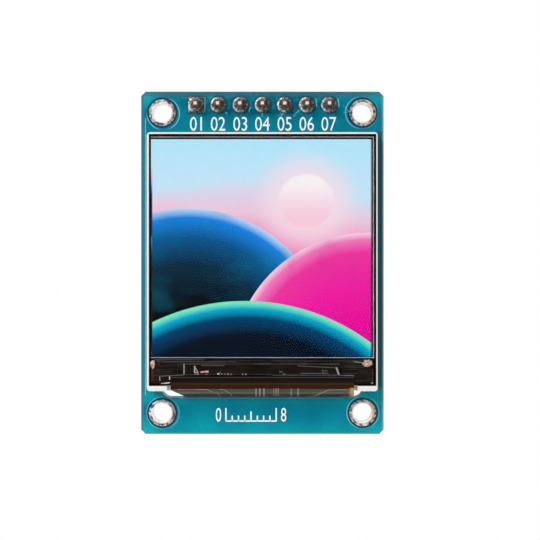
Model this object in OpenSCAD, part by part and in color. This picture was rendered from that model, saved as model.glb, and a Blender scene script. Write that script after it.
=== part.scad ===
// Colour display module: a flat backlit panel on a blue circuit board with a row of header pins.
// All sizes are millimetres. X runs across the board, Z runs up it, and the screen faces -Y.
// The origin is the middle of the four fixing holes, on the board's rear face.

/* [Board] */
// Width of the circuit board
board_w = 27.78; // [27.4:0.01:40]
// Height of the circuit board
board_h = 39.22; // [39:0.01:60]
// Thickness of the board over its two layers of solder mask
board_t = 1.6; // [1:0.1:2.4]
// Cut across each corner of the board
corner_cut = 0.5; // [0.1:0.05:1]
// Thickness of the solder mask, and of the copper pads that lie level with it
mask_t = 0.03; // [0.02:0.01:0.08]
// Bare laminate left between a copper pad and the mask
pad_relief = 0.06; // [0.02:0.01:0.1]

/* [Fixing holes] */
// Bore of each plated fixing hole
hole_d = 2.2; // [1.6:0.1:2.4]
// Distance from a hole's centre to the two nearest board edges
hole_edge = 2.4; // [2.2:0.05:2.6]
// Width of the copper ring round a fixing hole
ring_w = 0.43; // [0.2:0.01:0.5]
// Wall of the copper that lines a hole
plating_t = 0.05; // [0.02:0.01:0.1]
// Bare laminate round a fixing hole's ring
ring_relief = 0.22; // [0.05:0.01:0.3]

/* [Header] */
// Number of pins
pin_count = 7; // [3:1:7]
// Distance between neighbouring pins
pitch = 2.54; // [2:0.01:2.6]
// Width across the square pin
pin_side = 0.64; // [0.5:0.01:0.66]
// Distance from the pin row to the board's top edge
header_edge = 1.5; // [1.35:0.05:2.2]
// How far the pins stand out in front of the board
pin_rise = 1.4; // [1.2:0.1:1.8]
// How far the pins stand out behind their housing
pin_reach = 6.1; // [3:0.1:12]
// Length of the taper at each end of a pin
pin_taper = 0.5; // [0.2:0.05:0.7]
// Width left at the tip of a pin
pin_tip = 0.34; // [0.2:0.01:0.45]
// Height and depth of the header's housing
housing_d = 2.5; // [2:0.05:2.54]
// Cut across the corners of each segment of the housing
housing_cut = 0.45; // [0.1:0.05:0.7]
// Diameter of a pin's copper pad
pad_d = 1.85; // [1.4:0.05:1.9]
// Space between a pin's corners and the lining of its hole
pin_clear = 0.06; // [0.02:0.01:0.12]
// Height of the solder on a pin
solder_h = 0.95; // [0.6:0.05:1.1]
// Radius of the hollow curve of the solder
solder_r = 1.2; // [1:0.1:3]
// Thickness of the solder at the rim of its pad
solder_rim = 0.05; // [0.02:0.01:0.1]
// Solder left outside a pin's corners at the top of the curve
solder_neck = 0.01; // [0.005:0.005:0.1]

/* [Display panel] */
// Width of the panel over its frame
panel_w = 26.16; // [24:0.01:27]
// Height of the panel over its frame
panel_h = 29.3; // [27:0.1:29.5]
// Distance from the board's top edge down to the panel
panel_drop = 4.85; // [4.6:0.01:5]
// Outer wall of the panel's frame
frame_wall = 0.25; // [0.2:0.05:0.6]
// Height of the two feet at the frame's lower corners
frame_foot = 0.6; // [0.4:0.05:0.9]
// How far the frame's inner shelf reaches under the glass
glass_rest = 0.1; // [0.05:0.05:0.3]
// How far the frame's rim lies below the face of the screen
rim_below = 0.08; // [0:0.01:0.3]
// Radius of the frame's outer corners
frame_corner = 0.4; // [0.1:0.05:0.6]
// Space between the glass and the frame
glass_gap = 0.2; // [0.04:0.01:0.25]
// Height of the bare glass ledge under the picture
ledge_h = 2.94; // [2.8:0.02:4]
// Dark border beside the picture
border_side = 0.16; // [0.05:0.01:0.8]
// Dark border above the picture
border_top = 0.36; // [0.1:0.01:1]
// Dark border below the picture
border_foot = 0.15; // [0.05:0.01:1]

/* [Panel layers] */
// Tape that holds the panel to the board
tape_t = 0.15; // [0.05:0.01:0.5]
// Distance of the tape from the panel's edges
tape_inset = 1.6; // [0.5:0.1:4]
// Mirror sheet at the back of the panel
reflector_t = 0.08; // [0.04:0.01:0.2]
// Light guide
guide_t = 0.36; // [0.34:0.01:0.8]
// Diffusing film
diffuser_t = 0.05; // [0.03:0.01:0.2]
// Each of the two prism films
prism_t = 0.06; // [0.03:0.01:0.2]
// Black tape between the frame and the glass
shield_t = 0.05; // [0.03:0.01:0.1]
// Each polarizer
polarizer_t = 0.12; // [0.08:0.01:0.25]
// Each of the two glass plates
glass_t = 0.25; // [0.2:0.01:0.5]
// The filled cell between the glass plates
cell_t = 0.03; // [0.01:0.01:0.05]
// Space between one layer and the next
bond_t = 0.01; // [0.005:0.005:0.02]
// Space between the films and the walls round them
film_gap = 0.06; // [0.03:0.01:0.2]

/* [Backlight] */
// Number of lamps along the foot of the light guide
led_count = 4; // [2:1:6]
// Width of a lamp
led_w = 2.6; // [1.5:0.1:3]
// Height of the bay that holds the lamps
led_bay = 1.9; // [1.6:0.1:2.2]
// Depth of a lamp, from its strip to the light guide
led_d = 0.8; // [0.4:0.05:1]
// Thickness of a lamp
led_t = 0.25; // [0.15:0.01:0.26]
// Thickness of the strip that carries the lamps
strip_t = 0.08; // [0.05:0.01:0.08]

/* [Ledge and flex] */
// Width of the driver chip on the glass ledge
driver_w = 17.6; // [8:0.1:20]
// Height of the driver chip
driver_h = 1.25; // [0.6:0.05:1.3]
// Thickness of the driver chip
driver_t = 0.28; // [0.15:0.01:0.4]
// Space between the driver chip and the flex
driver_gap = 0.25; // [0.1:0.05:0.5]
// Radius of each dot of silver paste
paste_r = 0.42; // [0.2:0.02:0.5]
// Distance from the picture's glass down to the middle of each dot
paste_drop = 0.74; // [0.54:0.02:1.2]
// Height of each dot of silver paste
paste_h = 0.22; // [0.1:0.01:0.28]
// Width of the flex where it leaves the glass
flex_w = 20.8; // [16:0.1:21]
// Thickness of the flex
flex_t = 0.12; // [0.08:0.01:0.16]
// Height of the strip of flex that is bonded to the glass
flex_bond = 0.8; // [0.6:0.05:1]
// Outer radius of the flex's two bends
bend_r = 0.8; // [0.7:0.02:0.84]
// How far the flex's left edge slants in as it enters the slot
flex_slant = 1.4; // [0.2:0.1:2]
// Space between the flex and the frame's feet
flex_side = 0.4; // [0.1:0.05:0.4]

/* [Slot and tail] */
// How far the board's slot reaches below the panel
slot_drop = 0.9; // [0.9:0.01:1.05]
// Height of the slot
slot_h = 1.9; // [1.7:0.05:2.4]
// Space between the flex and each end of the slot
slot_side = 1.1; // [0.8:0.05:1.15]
// Space between the flex and the lower edge of the slot
slot_clear = 0.22; // [0.1:0.01:0.22]
// Width of the tail where it is soldered
tail_w = 10.2; // [9.6:0.1:15]
// Length of the tail above the slot
tail_run = 9.4; // [6:0.1:11]
// Height over which the tail narrows
tail_taper = 2.6; // [1:0.1:4]
// Space between the tail and the board
tail_gap = 0.02; // [0.01:0.01:0.1]
// Number of leads soldered at the end of the tail
lead_count = 12; // [6:1:12]
// Distance between neighbouring leads
lead_pitch = 0.8; // [0.6:0.02:0.8]
// Width of a lead's pad
lead_w = 0.42; // [0.3:0.02:0.46]
// Length of a lead's pad
lead_l = 2.6; // [2:0.1:3.2]
// Length of the solder bead past the end of the tail
bead_l = 1.2; // [0.8:0.1:1.2]

/* [Rear parts] */
// Distance from the pin row down to the first row of rear parts
part_drop = 4.6; // [3.6:0.1:6]
// Distance between rows of rear parts
part_row = 2.5; // [2.3:0.1:2.8]
// Distance between columns of rear parts
part_col = 3.5; // [3.3:0.1:4.2]
// Length of a chip resistor or capacitor
chip_l = 1.6; // [1:0.1:1.7]
// Width of a chip resistor or capacitor
chip_w = 0.8; // [0.5:0.05:1]
// Height of a chip resistor
resistor_t = 0.45; // [0.3:0.05:0.6]
// Height of a chip capacitor
capacitor_t = 0.8; // [0.4:0.05:1]
// Length of a chip's metal end
chip_end = 0.3; // [0.15:0.05:0.4]
// Length of the solder at a chip's end
chip_solder = 0.4; // [0.2:0.05:0.45]
// Width of the body of the regulator and of the transistor
sot_w = 2.9; // [2.6:0.1:3]
// Height of that body up the board
sot_h = 1.3; // [1.1:0.05:1.5]
// Thickness of that body
sot_t = 1; // [0.8:0.05:1.2]
// Space between that body and the board
sot_gap = 0.1; // [0.04:0.01:0.2]
// Distance between its two outer leads
sot_pitch = 1.9; // [1.6:0.05:2]
// Width of its leads
sot_lead_w = 0.42; // [0.3:0.02:0.5]
// Thickness of its leads
sot_lead_t = 0.13; // [0.1:0.01:0.18]
// How far its leads reach past the body
sot_lead_l = 0.58; // [0.5:0.02:0.7]
// Draft of the body's sides from its middle to its faces
sot_draft = 0.08; // [0:0.01:0.15]
// Length of a lead's level stretch beside the body
sot_knee = 0.21; // [0.14:0.01:0.25]
// Width of a lead's pad
sot_pad_w = 0.6; // [0.5:0.02:0.8]
// Length of a lead's pad
sot_pad_l = 0.9; // [0.7:0.02:1]

/* [Hidden] */
$fn = 48;
// Overshoot of a cutting tool past the face it opens
over = 0.2;

// Board, holes and pin row
edge_x = board_w / 2;
edge_z = board_h / 2;
hole_x = edge_x - hole_edge;
hole_z = edge_z - hole_edge;
hole_places = [for (z = [1, -1], x = [-1, 1]) [x * hole_x, z * hole_z]];
ring_r = hole_d / 2 + ring_w;
pin_z = edge_z - header_edge;
pin_corner = pin_side * sqrt(2) / 2;
pin_bore_r = pin_corner + pin_clear;
core_front = -board_t + mask_t;
core_rear = -mask_t;

// Panel outline and what it holds
panel_x = panel_w / 2;
panel_top = edge_z - panel_drop;
panel_foot = panel_top - panel_h;
glass_x = panel_x - frame_wall - glass_gap;
glass_top = panel_top - frame_wall - glass_gap;
glass_foot = panel_foot + frame_foot + glass_gap;
filter_foot = glass_foot + ledge_h;
picture_x = glass_x - border_side;
picture_top = glass_top - border_top;
picture_foot = filter_foot + border_foot;
well_x = glass_x - glass_rest;
well_top = glass_top - glass_rest;
well_foot = glass_foot + glass_rest;
guide_x = well_x - film_gap;
guide_top = well_top - film_gap;
guide_foot = well_foot + led_bay;

// Height of each layer's rear face above the front of the board
at_reflector = tape_t;
at_frame = at_reflector + reflector_t;
at_guide = at_frame + bond_t;
at_diffuser = at_guide + guide_t + bond_t;
at_prism_lower = at_diffuser + diffuser_t + bond_t;
at_prism_upper = at_prism_lower + prism_t + bond_t;
at_shield = at_prism_upper + prism_t + bond_t;
at_rear_polarizer = at_shield + shield_t + bond_t;
at_lower_glass = at_rear_polarizer + polarizer_t + bond_t;
at_cell = at_lower_glass + glass_t + bond_t;
at_filter = at_cell + cell_t + bond_t;
at_front_polarizer = at_filter + glass_t + bond_t;
at_face = at_front_polarizer + polarizer_t;
at_rim = at_face - rim_below;

// Slot and the flex that bends through it
slot_foot = panel_foot - slot_drop;
slot_top = slot_foot + slot_h;
slot_x = flex_w / 2 + slot_side;
bond_top = glass_foot + flex_bond;
flex_outer_z = slot_foot + slot_clear;
bend_z = flex_outer_z + bend_r;
flex_front = -board_t - at_cell - flex_t;
flex_rear = tail_gap + flex_t;
tail_end = slot_top + tail_run;
lead_x0 = -(lead_count - 1) * lead_pitch / 2;
lead_foot = tail_end + bead_l + pad_relief - lead_l;

// Rear parts: [column, row] of each, counted from the middle of the pin row
capacitor_places = [[-2, 0], [-2, 3], [2, 0]];
resistor_places = [[0, 0], [0, 1], [0, 2], [2, 3]];
regulator_place = [-2, 1.5];
transistor_place = [2, 1.5];
chip_pad_l = chip_end + chip_solder;
sot_reach = sot_h / 2 + sot_lead_l;
// Feet of a three-lead part: X of each lead, and the side of the body that it leaves
sot_feet = [[-sot_pitch / 2, -1], [sot_pitch / 2, -1], [0, 1]];

// The picture on the screen: a sky, a sun and three round hills, each a field of one colour.
// Each disc is [x, z, radius] from the picture's middle, in shares of its width, from back to front.
picture_w = 2 * picture_x;
picture_z = (picture_top + picture_foot) / 2;
discs = [[0.2, 0.21, 0.13], [-0.34, -0.48, 0.66], [0.48, -0.55, 0.62], [-0.08, -1.2, 0.96]];
fields = ["picture_sky", "picture_sun", "picture_far_hill", "picture_mid_hill", "picture_near_hill"];
field_hues = ["#b9d9f3", "#fdeef6", "#ec3ba0", "#1a6fe0", "#0a1030"];

// ---- Helpers -------------------------------------------------------------------------

// Stands a flat outline up, its second axis along Z, and fills it from y0 back to y1
module upright(y0, y1) {
    translate([0, y1, 0]) rotate([90, 0, 0]) linear_extrude(y1 - y0) children();
}

// A layer of the panel: an upright outline at a height above the front of the board
module layer(height, thick) {
    upright(-board_t - height - thick, -board_t - height) children();
}

// A rectangle about the middle line, between two heights
module band(half, z0, z1) {
    translate([-half, z0]) square([2 * half, z1 - z0]);
}

// A rectangle about its own middle
module block(w, h) {
    translate([-w / 2, -h / 2]) square([w, h]);
}

// A rectangle with its corners cut across
module cut_block(w, h, cut) {
    polygon([
        [-w / 2 + cut, -h / 2], [w / 2 - cut, -h / 2], [w / 2, -h / 2 + cut], [w / 2, h / 2 - cut],
        [w / 2 - cut, h / 2], [-w / 2 + cut, h / 2], [-w / 2, h / 2 - cut], [-w / 2, -h / 2 + cut]
    ]);
}

// A rectangle about the middle line with rounded corners
module round_band(half, z0, z1, r) {
    band(half - r, z0, z1);
    band(half, z0 + r, z1 - r);
    for (x = [-1, 1], z = [z0 + r, z1 - r]) translate([x * (half - r), z]) circle(r);
}

// X of a pin or a lead in a centred row
function in_row(i, count, step) = (i - (count + 1) / 2) * step;

// Place of a rear part on the board, from its column and row
function on_rear(p) = [p[0] * part_col, pin_z - part_drop - p[1] * part_row];

// Centre of the circle of radius r that passes through p and q, on their right-hand side
function arc_centre(p, q, r) =
    let (d = q - p, c = norm(d), n = [d[1], -d[0]] / c)
    (p + q) / 2 + n * sqrt(r * r - c * c / 4);

// ---- Board ---------------------------------------------------------------------------

module board_outline() {
    cut_block(board_w, board_h, corner_cut);
}

module slot_outline() {
    r = slot_h / 2;
    band(slot_x - r, slot_foot, slot_top);
    for (x = [-1, 1]) translate([x * (slot_x - r), slot_foot + r]) circle(r);
}

module pin_pad_outline(i, grow) {
    translate([in_row(i, pin_count, pitch), pin_z])
        if (i == 1) block(pad_d + 2 * grow, pad_d + 2 * grow);
        else circle(pad_d / 2 + grow);
}

module board_core() {
    color("#8a8f52") difference() {
        upright(core_front, core_rear) board_outline();
        upright(core_front - over, core_rear + over) {
            slot_outline();
            for (p = hole_places) translate(p) circle(hole_d / 2 + plating_t);
            for (i = [1:pin_count])
                translate([in_row(i, pin_count, pitch), pin_z]) circle(pin_bore_r + plating_t);
        }
    }
}

// What both mask layers leave open
module mask_openings() {
    slot_outline();
    for (p = hole_places) translate(p) circle(ring_r + ring_relief);
    for (i = [1:pin_count]) pin_pad_outline(i, pad_relief);
}

module solder_mask_front() {
    color("#0a8398") difference() {
        upright(-board_t, core_front) board_outline();
        upright(-board_t - over, core_front + over) mask_openings();
    }
}

module solder_mask_rear() {
    color("#0a8398") difference() {
        upright(core_rear, 0) board_outline();
        upright(core_rear - over, over) {
            mask_openings();
            rear_pad_outlines(pad_relief);
        }
    }
}

// A lined hole with a copper ring on each face
module fixing_ring(i) {
    color("#d8dadc") translate([hole_places[i - 1][0], 0, hole_places[i - 1][1]]) difference() {
        union() {
            upright(-board_t, 0) circle(hole_d / 2 + plating_t);
            upright(-board_t, core_front) circle(ring_r);
            upright(core_rear, 0) circle(ring_r);
        }
        upright(-board_t - over, over) circle(hole_d / 2);
    }
}

module header_pads() {
    color("#c9b26a") for (i = [1:pin_count]) difference() {
        union() {
            upright(-board_t, core_front) pin_pad_outline(i, 0);
            upright(core_rear, 0) pin_pad_outline(i, 0);
            translate([in_row(i, pin_count, pitch), 0, pin_z])
                upright(-board_t, 0) circle(pin_bore_r + plating_t);
        }
        translate([in_row(i, pin_count, pitch), 0, pin_z])
            upright(-board_t - over, over) circle(pin_bore_r);
    }
}

// Outlines of every copper pad on the rear face, each grown by a margin
module rear_pad_outlines(grow) {
    for (i = [1:lead_count])
        translate([in_row(i, lead_count, lead_pitch) - lead_w / 2 - grow, lead_foot - grow])
            square([lead_w + 2 * grow, lead_l + 2 * grow]);
    for (p = concat(capacitor_places, resistor_places), side = [-1, 1])
        translate(on_rear(p) + [side * (chip_l / 2 - chip_end + chip_pad_l / 2), 0])
            block(chip_pad_l + 2 * grow, chip_w + 2 * grow);
    for (p = [regulator_place, transistor_place], q = sot_feet)
        translate(on_rear(p) + [q[0], q[1] * sot_reach])
            block(sot_pad_w + 2 * grow, sot_pad_l + 2 * grow);
}

module rear_pads() {
    color("#c9b26a") upright(core_rear, 0) rear_pad_outlines(0);
}

// ---- Header --------------------------------------------------------------------------

// A square pin along Y with a taper at each end
module header_pin(i) {
    y0 = -board_t - pin_rise;
    y1 = housing_d + pin_reach;
    side = [
        [-pin_tip / 2, y0], [pin_tip / 2, y0], [pin_side / 2, y0 + pin_taper],
        [pin_side / 2, y1 - pin_taper], [pin_tip / 2, y1], [-pin_tip / 2, y1],
        [-pin_side / 2, y1 - pin_taper], [-pin_side / 2, y0 + pin_taper]
    ];
    color("#d9c07a") translate([in_row(i, pin_count, pitch), 0, pin_z]) intersection() {
        translate([0, 0, -pin_side / 2]) linear_extrude(pin_side) polygon(side);
        rotate([0, 90, 0]) translate([0, 0, -pin_side / 2]) linear_extrude(pin_side) polygon(side);
    }
}

module header_housing() {
    color("#1b1b1d") difference() {
        upright(0, housing_d) for (i = [1:pin_count])
            translate([in_row(i, pin_count, pitch), pin_z]) cut_block(pitch, housing_d, housing_cut);
        upright(-over, housing_d + over) for (i = [1:pin_count])
            translate([in_row(i, pin_count, pitch), pin_z]) block(pin_side, pin_side);
    }
}

// Half of the solder's section: out along the pad, up the hollow curve, back to the pin
module solder_section() {
    foot = [pad_d / 2, solder_rim];
    neck = [pin_corner + solder_neck, solder_h];
    difference() {
        square([pad_d / 2, solder_h]);
        translate(arc_centre(foot, neck, solder_r)) circle(solder_r);
    }
}

// The solder on the square pad of the first pin, hollow on four sides
module square_solder() {
    intersection_for (turn = [0, 90])
        rotate([0, 0, turn]) rotate([90, 0, 0]) translate([0, 0, -pad_d / 2]) linear_extrude(pad_d)
            for (m = [0, 1]) mirror([m, 0]) solder_section();
}

module header_solder() {
    color("#b9babd") for (i = [1:pin_count])
        translate([in_row(i, pin_count, pitch), 0, pin_z]) difference() {
            union() {
                translate([0, -board_t, 0]) rotate([90, 0, 0])
                    if (i == 1) square_solder();
                    else rotate_extrude() solder_section();
                upright(-board_t - solder_rim, 0) circle(pin_bore_r);
            }
            upright(-board_t - solder_h - over, over) block(pin_side, pin_side);
        }
}

// ---- Panel ---------------------------------------------------------------------------

module mounting_tape() {
    color("#2a2a2c") layer(0, tape_t)
        band(panel_x - tape_inset, slot_top + tape_inset / 2, panel_top - tape_inset);
}

module reflector() {
    color("#e9ecee") layer(at_reflector, reflector_t)
        round_band(panel_x - film_gap, panel_foot + film_gap, panel_top - film_gap, frame_corner);
}

// The moulded frame: a wall, a shelf under the glass, a well for the films, and an open foot for the flex
module backlight_frame() {
    color("#f3f2ec") difference() {
        layer(at_frame, at_rim - at_frame) round_band(panel_x, panel_foot, panel_top, frame_corner);
        layer(at_frame - over, at_rim + over) band(well_x, well_foot, well_top);
        layer(at_shield, at_rim) {
            band(glass_x + glass_gap, glass_foot - glass_gap, glass_top + glass_gap);
            band(flex_w / 2 + flex_side, panel_foot - over, glass_foot);
        }
    }
}

module light_guide() {
    color([0.86, 0.92, 0.95, 0.7]) layer(at_guide, guide_t) band(guide_x, guide_foot, guide_top);
}

module diffuser_film() {
    color("#f6f7f8") layer(at_diffuser, diffuser_t) band(guide_x, guide_foot - led_bay / 3, guide_top);
}

module prism_film_lower() {
    color("#dfe6ea") layer(at_prism_lower, prism_t) band(guide_x, guide_foot, guide_top);
}

module prism_film_upper() {
    color("#d3dde3") layer(at_prism_upper, prism_t) band(guide_x, guide_foot, guide_top);
}

// The strip under the lamps, at the foot of the well
module lamp_strip() {
    color("#b5651d") layer(at_guide, strip_t) band(guide_x, well_foot + film_gap, guide_foot - film_gap);
}

module lamp(i) {
    step = 2 * guide_x / led_count;
    color("#f4e9a6") translate([in_row(i, led_count, step), 0, 0]) layer(at_guide + strip_t, led_t)
        band(led_w / 2, guide_foot - film_gap - led_d, guide_foot - film_gap);
}

// The black tape on the frame's shelf, open behind the picture
module shield_tape() {
    reach = max(0, glass_gap - film_gap);
    color("#141416") layer(at_shield, shield_t) difference() {
        band(glass_x + reach, glass_foot - reach, glass_top + reach);
        band(picture_x, picture_foot, picture_top);
    }
}

module rear_polarizer() {
    color([0.25, 0.27, 0.3, 0.8]) layer(at_rear_polarizer, polarizer_t)
        band(glass_x - film_gap, filter_foot, glass_top - film_gap);
}

module lower_glass() {
    color([0.1, 0.1, 0.12, 0.9]) layer(at_lower_glass, glass_t) band(glass_x, glass_foot, glass_top);
}

// The dark border of the filled cell, round the picture
module cell_border() {
    color("#101012") layer(at_cell, cell_t) difference() {
        band(glass_x, filter_foot, glass_top);
        band(picture_x, picture_foot, picture_top);
    }
}

module picture_disc(d) {
    translate([d[0] * picture_w, picture_z + d[1] * picture_w]) circle(d[2] * picture_w);
}

// Field k of the picture, where no nearer disc covers it: the sky is field 0, and each disc is one more
module picture_field(k) {
    color(field_hues[k]) layer(at_cell, cell_t) difference() {
        intersection() {
            band(picture_x, picture_foot, picture_top);
            if (k > 0) picture_disc(discs[k - 1]);
        }
        for (j = [k + 1:1:len(discs)]) picture_disc(discs[j - 1]);
    }
}

module filter_glass() {
    color([0.75, 0.85, 0.9, 0.2]) layer(at_filter, glass_t) band(glass_x, filter_foot, glass_top);
}

module front_polarizer() {
    color([0.3, 0.32, 0.36, 0.15]) layer(at_front_polarizer, polarizer_t)
        band(glass_x - film_gap, filter_foot + film_gap, glass_top - film_gap);
}

// ---- Ledge, flex and tail ------------------------------------------------------------

module driver_chip() {
    color("#2b2d33") layer(at_cell, driver_t)
        band(driver_w / 2, bond_top + driver_gap, bond_top + driver_gap + driver_h);
}

// A dot of paste at one end of the ledge: a cap cut from a ball
module paste_dot(side) {
    ball_r = (paste_r * paste_r + paste_h * paste_h) / (2 * paste_h);
    color("#b79a78")
        translate([side * (glass_x - paste_r), -board_t - at_cell, filter_foot - paste_drop])
            rotate([90, 0, 0]) intersection() {
                translate([0, 0, paste_h - ball_r]) sphere(ball_r);
                cylinder(h = paste_h + over, r = 2 * paste_r);
            }
}

// A quarter of a ring, from angle a round to a + 90
module ring_quarter(r_out, r_in, a) {
    rotate(a) intersection() {
        difference() {
            circle(r_out);
            circle(r_in);
        }
        square(r_out + over);
    }
}

// The flex's side view, first axis Y and second axis Z: down the glass, through the slot, up the rear
module flex_section() {
    inner_r = bend_r - flex_t;
    translate([flex_front, bend_z]) square([flex_t, bond_top - bend_z]);
    translate([flex_front + bend_r, bend_z]) ring_quarter(bend_r, inner_r, 180);
    translate([flex_front + bend_r, flex_outer_z])
        square([flex_rear - flex_front - 2 * bend_r, flex_t]);
    translate([flex_rear - bend_r, bend_z]) ring_quarter(bend_r, inner_r, 270);
    translate([tail_gap, bend_z]) square([flex_t, tail_end - bend_z]);
}

// The flex's outline in front of the slot, with its slanted left edge
module flex_front_outline() {
    w = flex_w / 2;
    polygon([
        [-w, bond_top + over], [w, bond_top + over], [w, flex_outer_z - over],
        [-w + flex_slant, flex_outer_z - over], [-w + flex_slant, flex_outer_z + flex_t], [-w, bend_z]
    ]);
}

// The flex's outline behind the slot, where it narrows to the tail
module flex_rear_outline() {
    w = flex_w / 2;
    t = tail_w / 2;
    polygon([
        [-w + flex_slant, flex_outer_z - over], [w, flex_outer_z - over], [w, slot_top],
        [t, slot_top + tail_taper], [t, tail_end + over], [-t, tail_end + over],
        [-t, slot_top + tail_taper], [-w + flex_slant, slot_top]
    ]);
}

module flex_tail() {
    split = -board_t / 2;
    color("#6b3f17") intersection() {
        rotate([90, 0, 90]) translate([0, 0, -flex_w]) linear_extrude(2 * flex_w) flex_section();
        union() {
            upright(flex_front - over, split) flex_front_outline();
            upright(split, flex_rear + over) flex_rear_outline();
        }
    }
}

// One rounded bead on each lead's pad, against the end of the tail
module tail_solder() {
    r = lead_w / 2;
    color("#c3c4c7") for (i = [1:lead_count])
        translate([in_row(i, lead_count, lead_pitch), 0, tail_end]) intersection() {
            union() {
                cylinder(h = bead_l - r, r = r);
                translate([0, 0, bead_l - r]) sphere(r);
            }
            translate([-lead_w, 0, 0]) cube([2 * lead_w, lead_w, bead_l]);
        }
}

// ---- Rear parts ----------------------------------------------------------------------

// The body of a chip part between its metal ends
module chip_body(place, tall, hue) {
    color(hue) translate([on_rear(place)[0], 0, on_rear(place)[1]])
        upright(0, tall) block(chip_l - 2 * chip_end, chip_w);
}

module chip_end_pair(place, tall) {
    translate([on_rear(place)[0], 0, on_rear(place)[1]]) for (side = [-1, 1])
        upright(0, tall) translate([side * (chip_l - chip_end) / 2, 0]) block(chip_end, chip_w);
}

module chip_ends() {
    color("#c9cacc") {
        for (p = capacitor_places) chip_end_pair(p, capacitor_t);
        for (p = resistor_places) chip_end_pair(p, resistor_t);
    }
}

// The hollow wedge of solder at one end of a chip part
module solder_wedge(tall) {
    rise = tall * 0.75;
    reach = chip_solder;
    r = 1.5 * max(rise, reach);
    difference() {
        polygon([[0, 0], [reach, 0], [0, rise]]);
        translate(arc_centre([reach, 0.02], [0.02, rise], r)) circle(r);
    }
}

module chip_solder_pair(place, tall) {
    translate([on_rear(place)[0], 0, on_rear(place)[1]]) for (m = [0, 1]) mirror([m, 0, 0])
        translate([chip_l / 2, 0, -chip_w / 2]) linear_extrude(chip_w) solder_wedge(tall);
}

module chip_solder_joints() {
    color("#b9babd") {
        for (p = capacitor_places) chip_solder_pair(p, capacitor_t);
        for (p = resistor_places) chip_solder_pair(p, resistor_t);
    }
}

// The moulded body of a three-lead part, drafted on its four sides
module sot_body(place) {
    mid = sot_gap + sot_t / 2;
    top = sot_gap + sot_t;
    function side(w, in = sot_draft) = [
        [-w / 2 + in, sot_gap], [w / 2 - in, sot_gap], [w / 2, mid],
        [w / 2 - in, top], [-w / 2 + in, top], [-w / 2, mid]
    ];
    color("#202124") translate([on_rear(place)[0], 0, on_rear(place)[1]]) intersection() {
        translate([0, 0, -sot_h]) linear_extrude(2 * sot_h) polygon(side(sot_w));
        rotate([0, 90, 0]) translate([0, 0, -sot_w]) linear_extrude(2 * sot_w) polygon(side(sot_h));
    }
}

// The side view of a bent lead, first axis Y and second axis Z: out of the body, down, and along the pad
module gull_section() {
    out = sot_gap + sot_t / 2;
    polygon([
        [out, 0], [out + sot_lead_t, 0], [out + sot_lead_t, sot_knee],
        [sot_lead_t, sot_knee + sot_lead_t], [sot_lead_t, sot_lead_l], [0, sot_lead_l],
        [0, sot_knee], [out, sot_knee - sot_lead_t / 2]
    ]);
}

module sot_leads(place) {
    color("#c9cacc") translate([on_rear(place)[0], 0, on_rear(place)[1]]) for (q = sot_feet)
        translate([q[0], 0, q[1] * sot_h / 2]) mirror([0, 0, (1 - q[1]) / 2])
            rotate([90, 0, 90]) translate([0, 0, -sot_lead_w / 2]) linear_extrude(sot_lead_w)
                gull_section();
}

// ---- Assembly ------------------------------------------------------------------------

board_core();  // board
solder_mask_front();
solder_mask_rear();
header_pads();
rear_pads();
for (i = [1:4]) fixing_ring(i);
for (i = [1:pin_count]) header_pin(i);
header_housing();
header_solder();
mounting_tape();
reflector();
backlight_frame();
light_guide();
diffuser_film();
prism_film_lower();
prism_film_upper();
lamp_strip();
for (i = [1:led_count]) lamp(i);
shield_tape();
rear_polarizer();
lower_glass();
cell_border();
for (k = [0:len(discs)]) picture_field(k);
filter_glass();
front_polarizer();
driver_chip();
paste_dot(-1);  // paste_dot_left
paste_dot(1);  // paste_dot_right
flex_tail();
tail_solder();
for (i = [1:len(capacitor_places)])
    chip_body(capacitor_places[i - 1], capacitor_t, "#b08a5c");
for (i = [1:len(resistor_places)])
    chip_body(resistor_places[i - 1], resistor_t, "#26262a");
chip_ends();
chip_solder_joints();
sot_body(regulator_place);  // regulator
sot_leads(regulator_place);  // regulator_leads
sot_body(transistor_place);  // transistor
sot_leads(transistor_place);  // transistor_leads
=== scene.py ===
"""Colour display module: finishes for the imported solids, and the fine pieces on them.

Lengths are millimetres until a piece is settled, which turns them into metres. X runs across the
board, Z runs up it, and the screen faces -Y.
"""

import logging
import math
from dataclasses import dataclass, field
from enum import Enum
from functools import lru_cache, partialmethod, reduce
from typing import Any, Iterable, Mapping, Sequence, Union

import bmesh
import bpy
from mathutils import Matrix, Vector, noise


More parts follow.
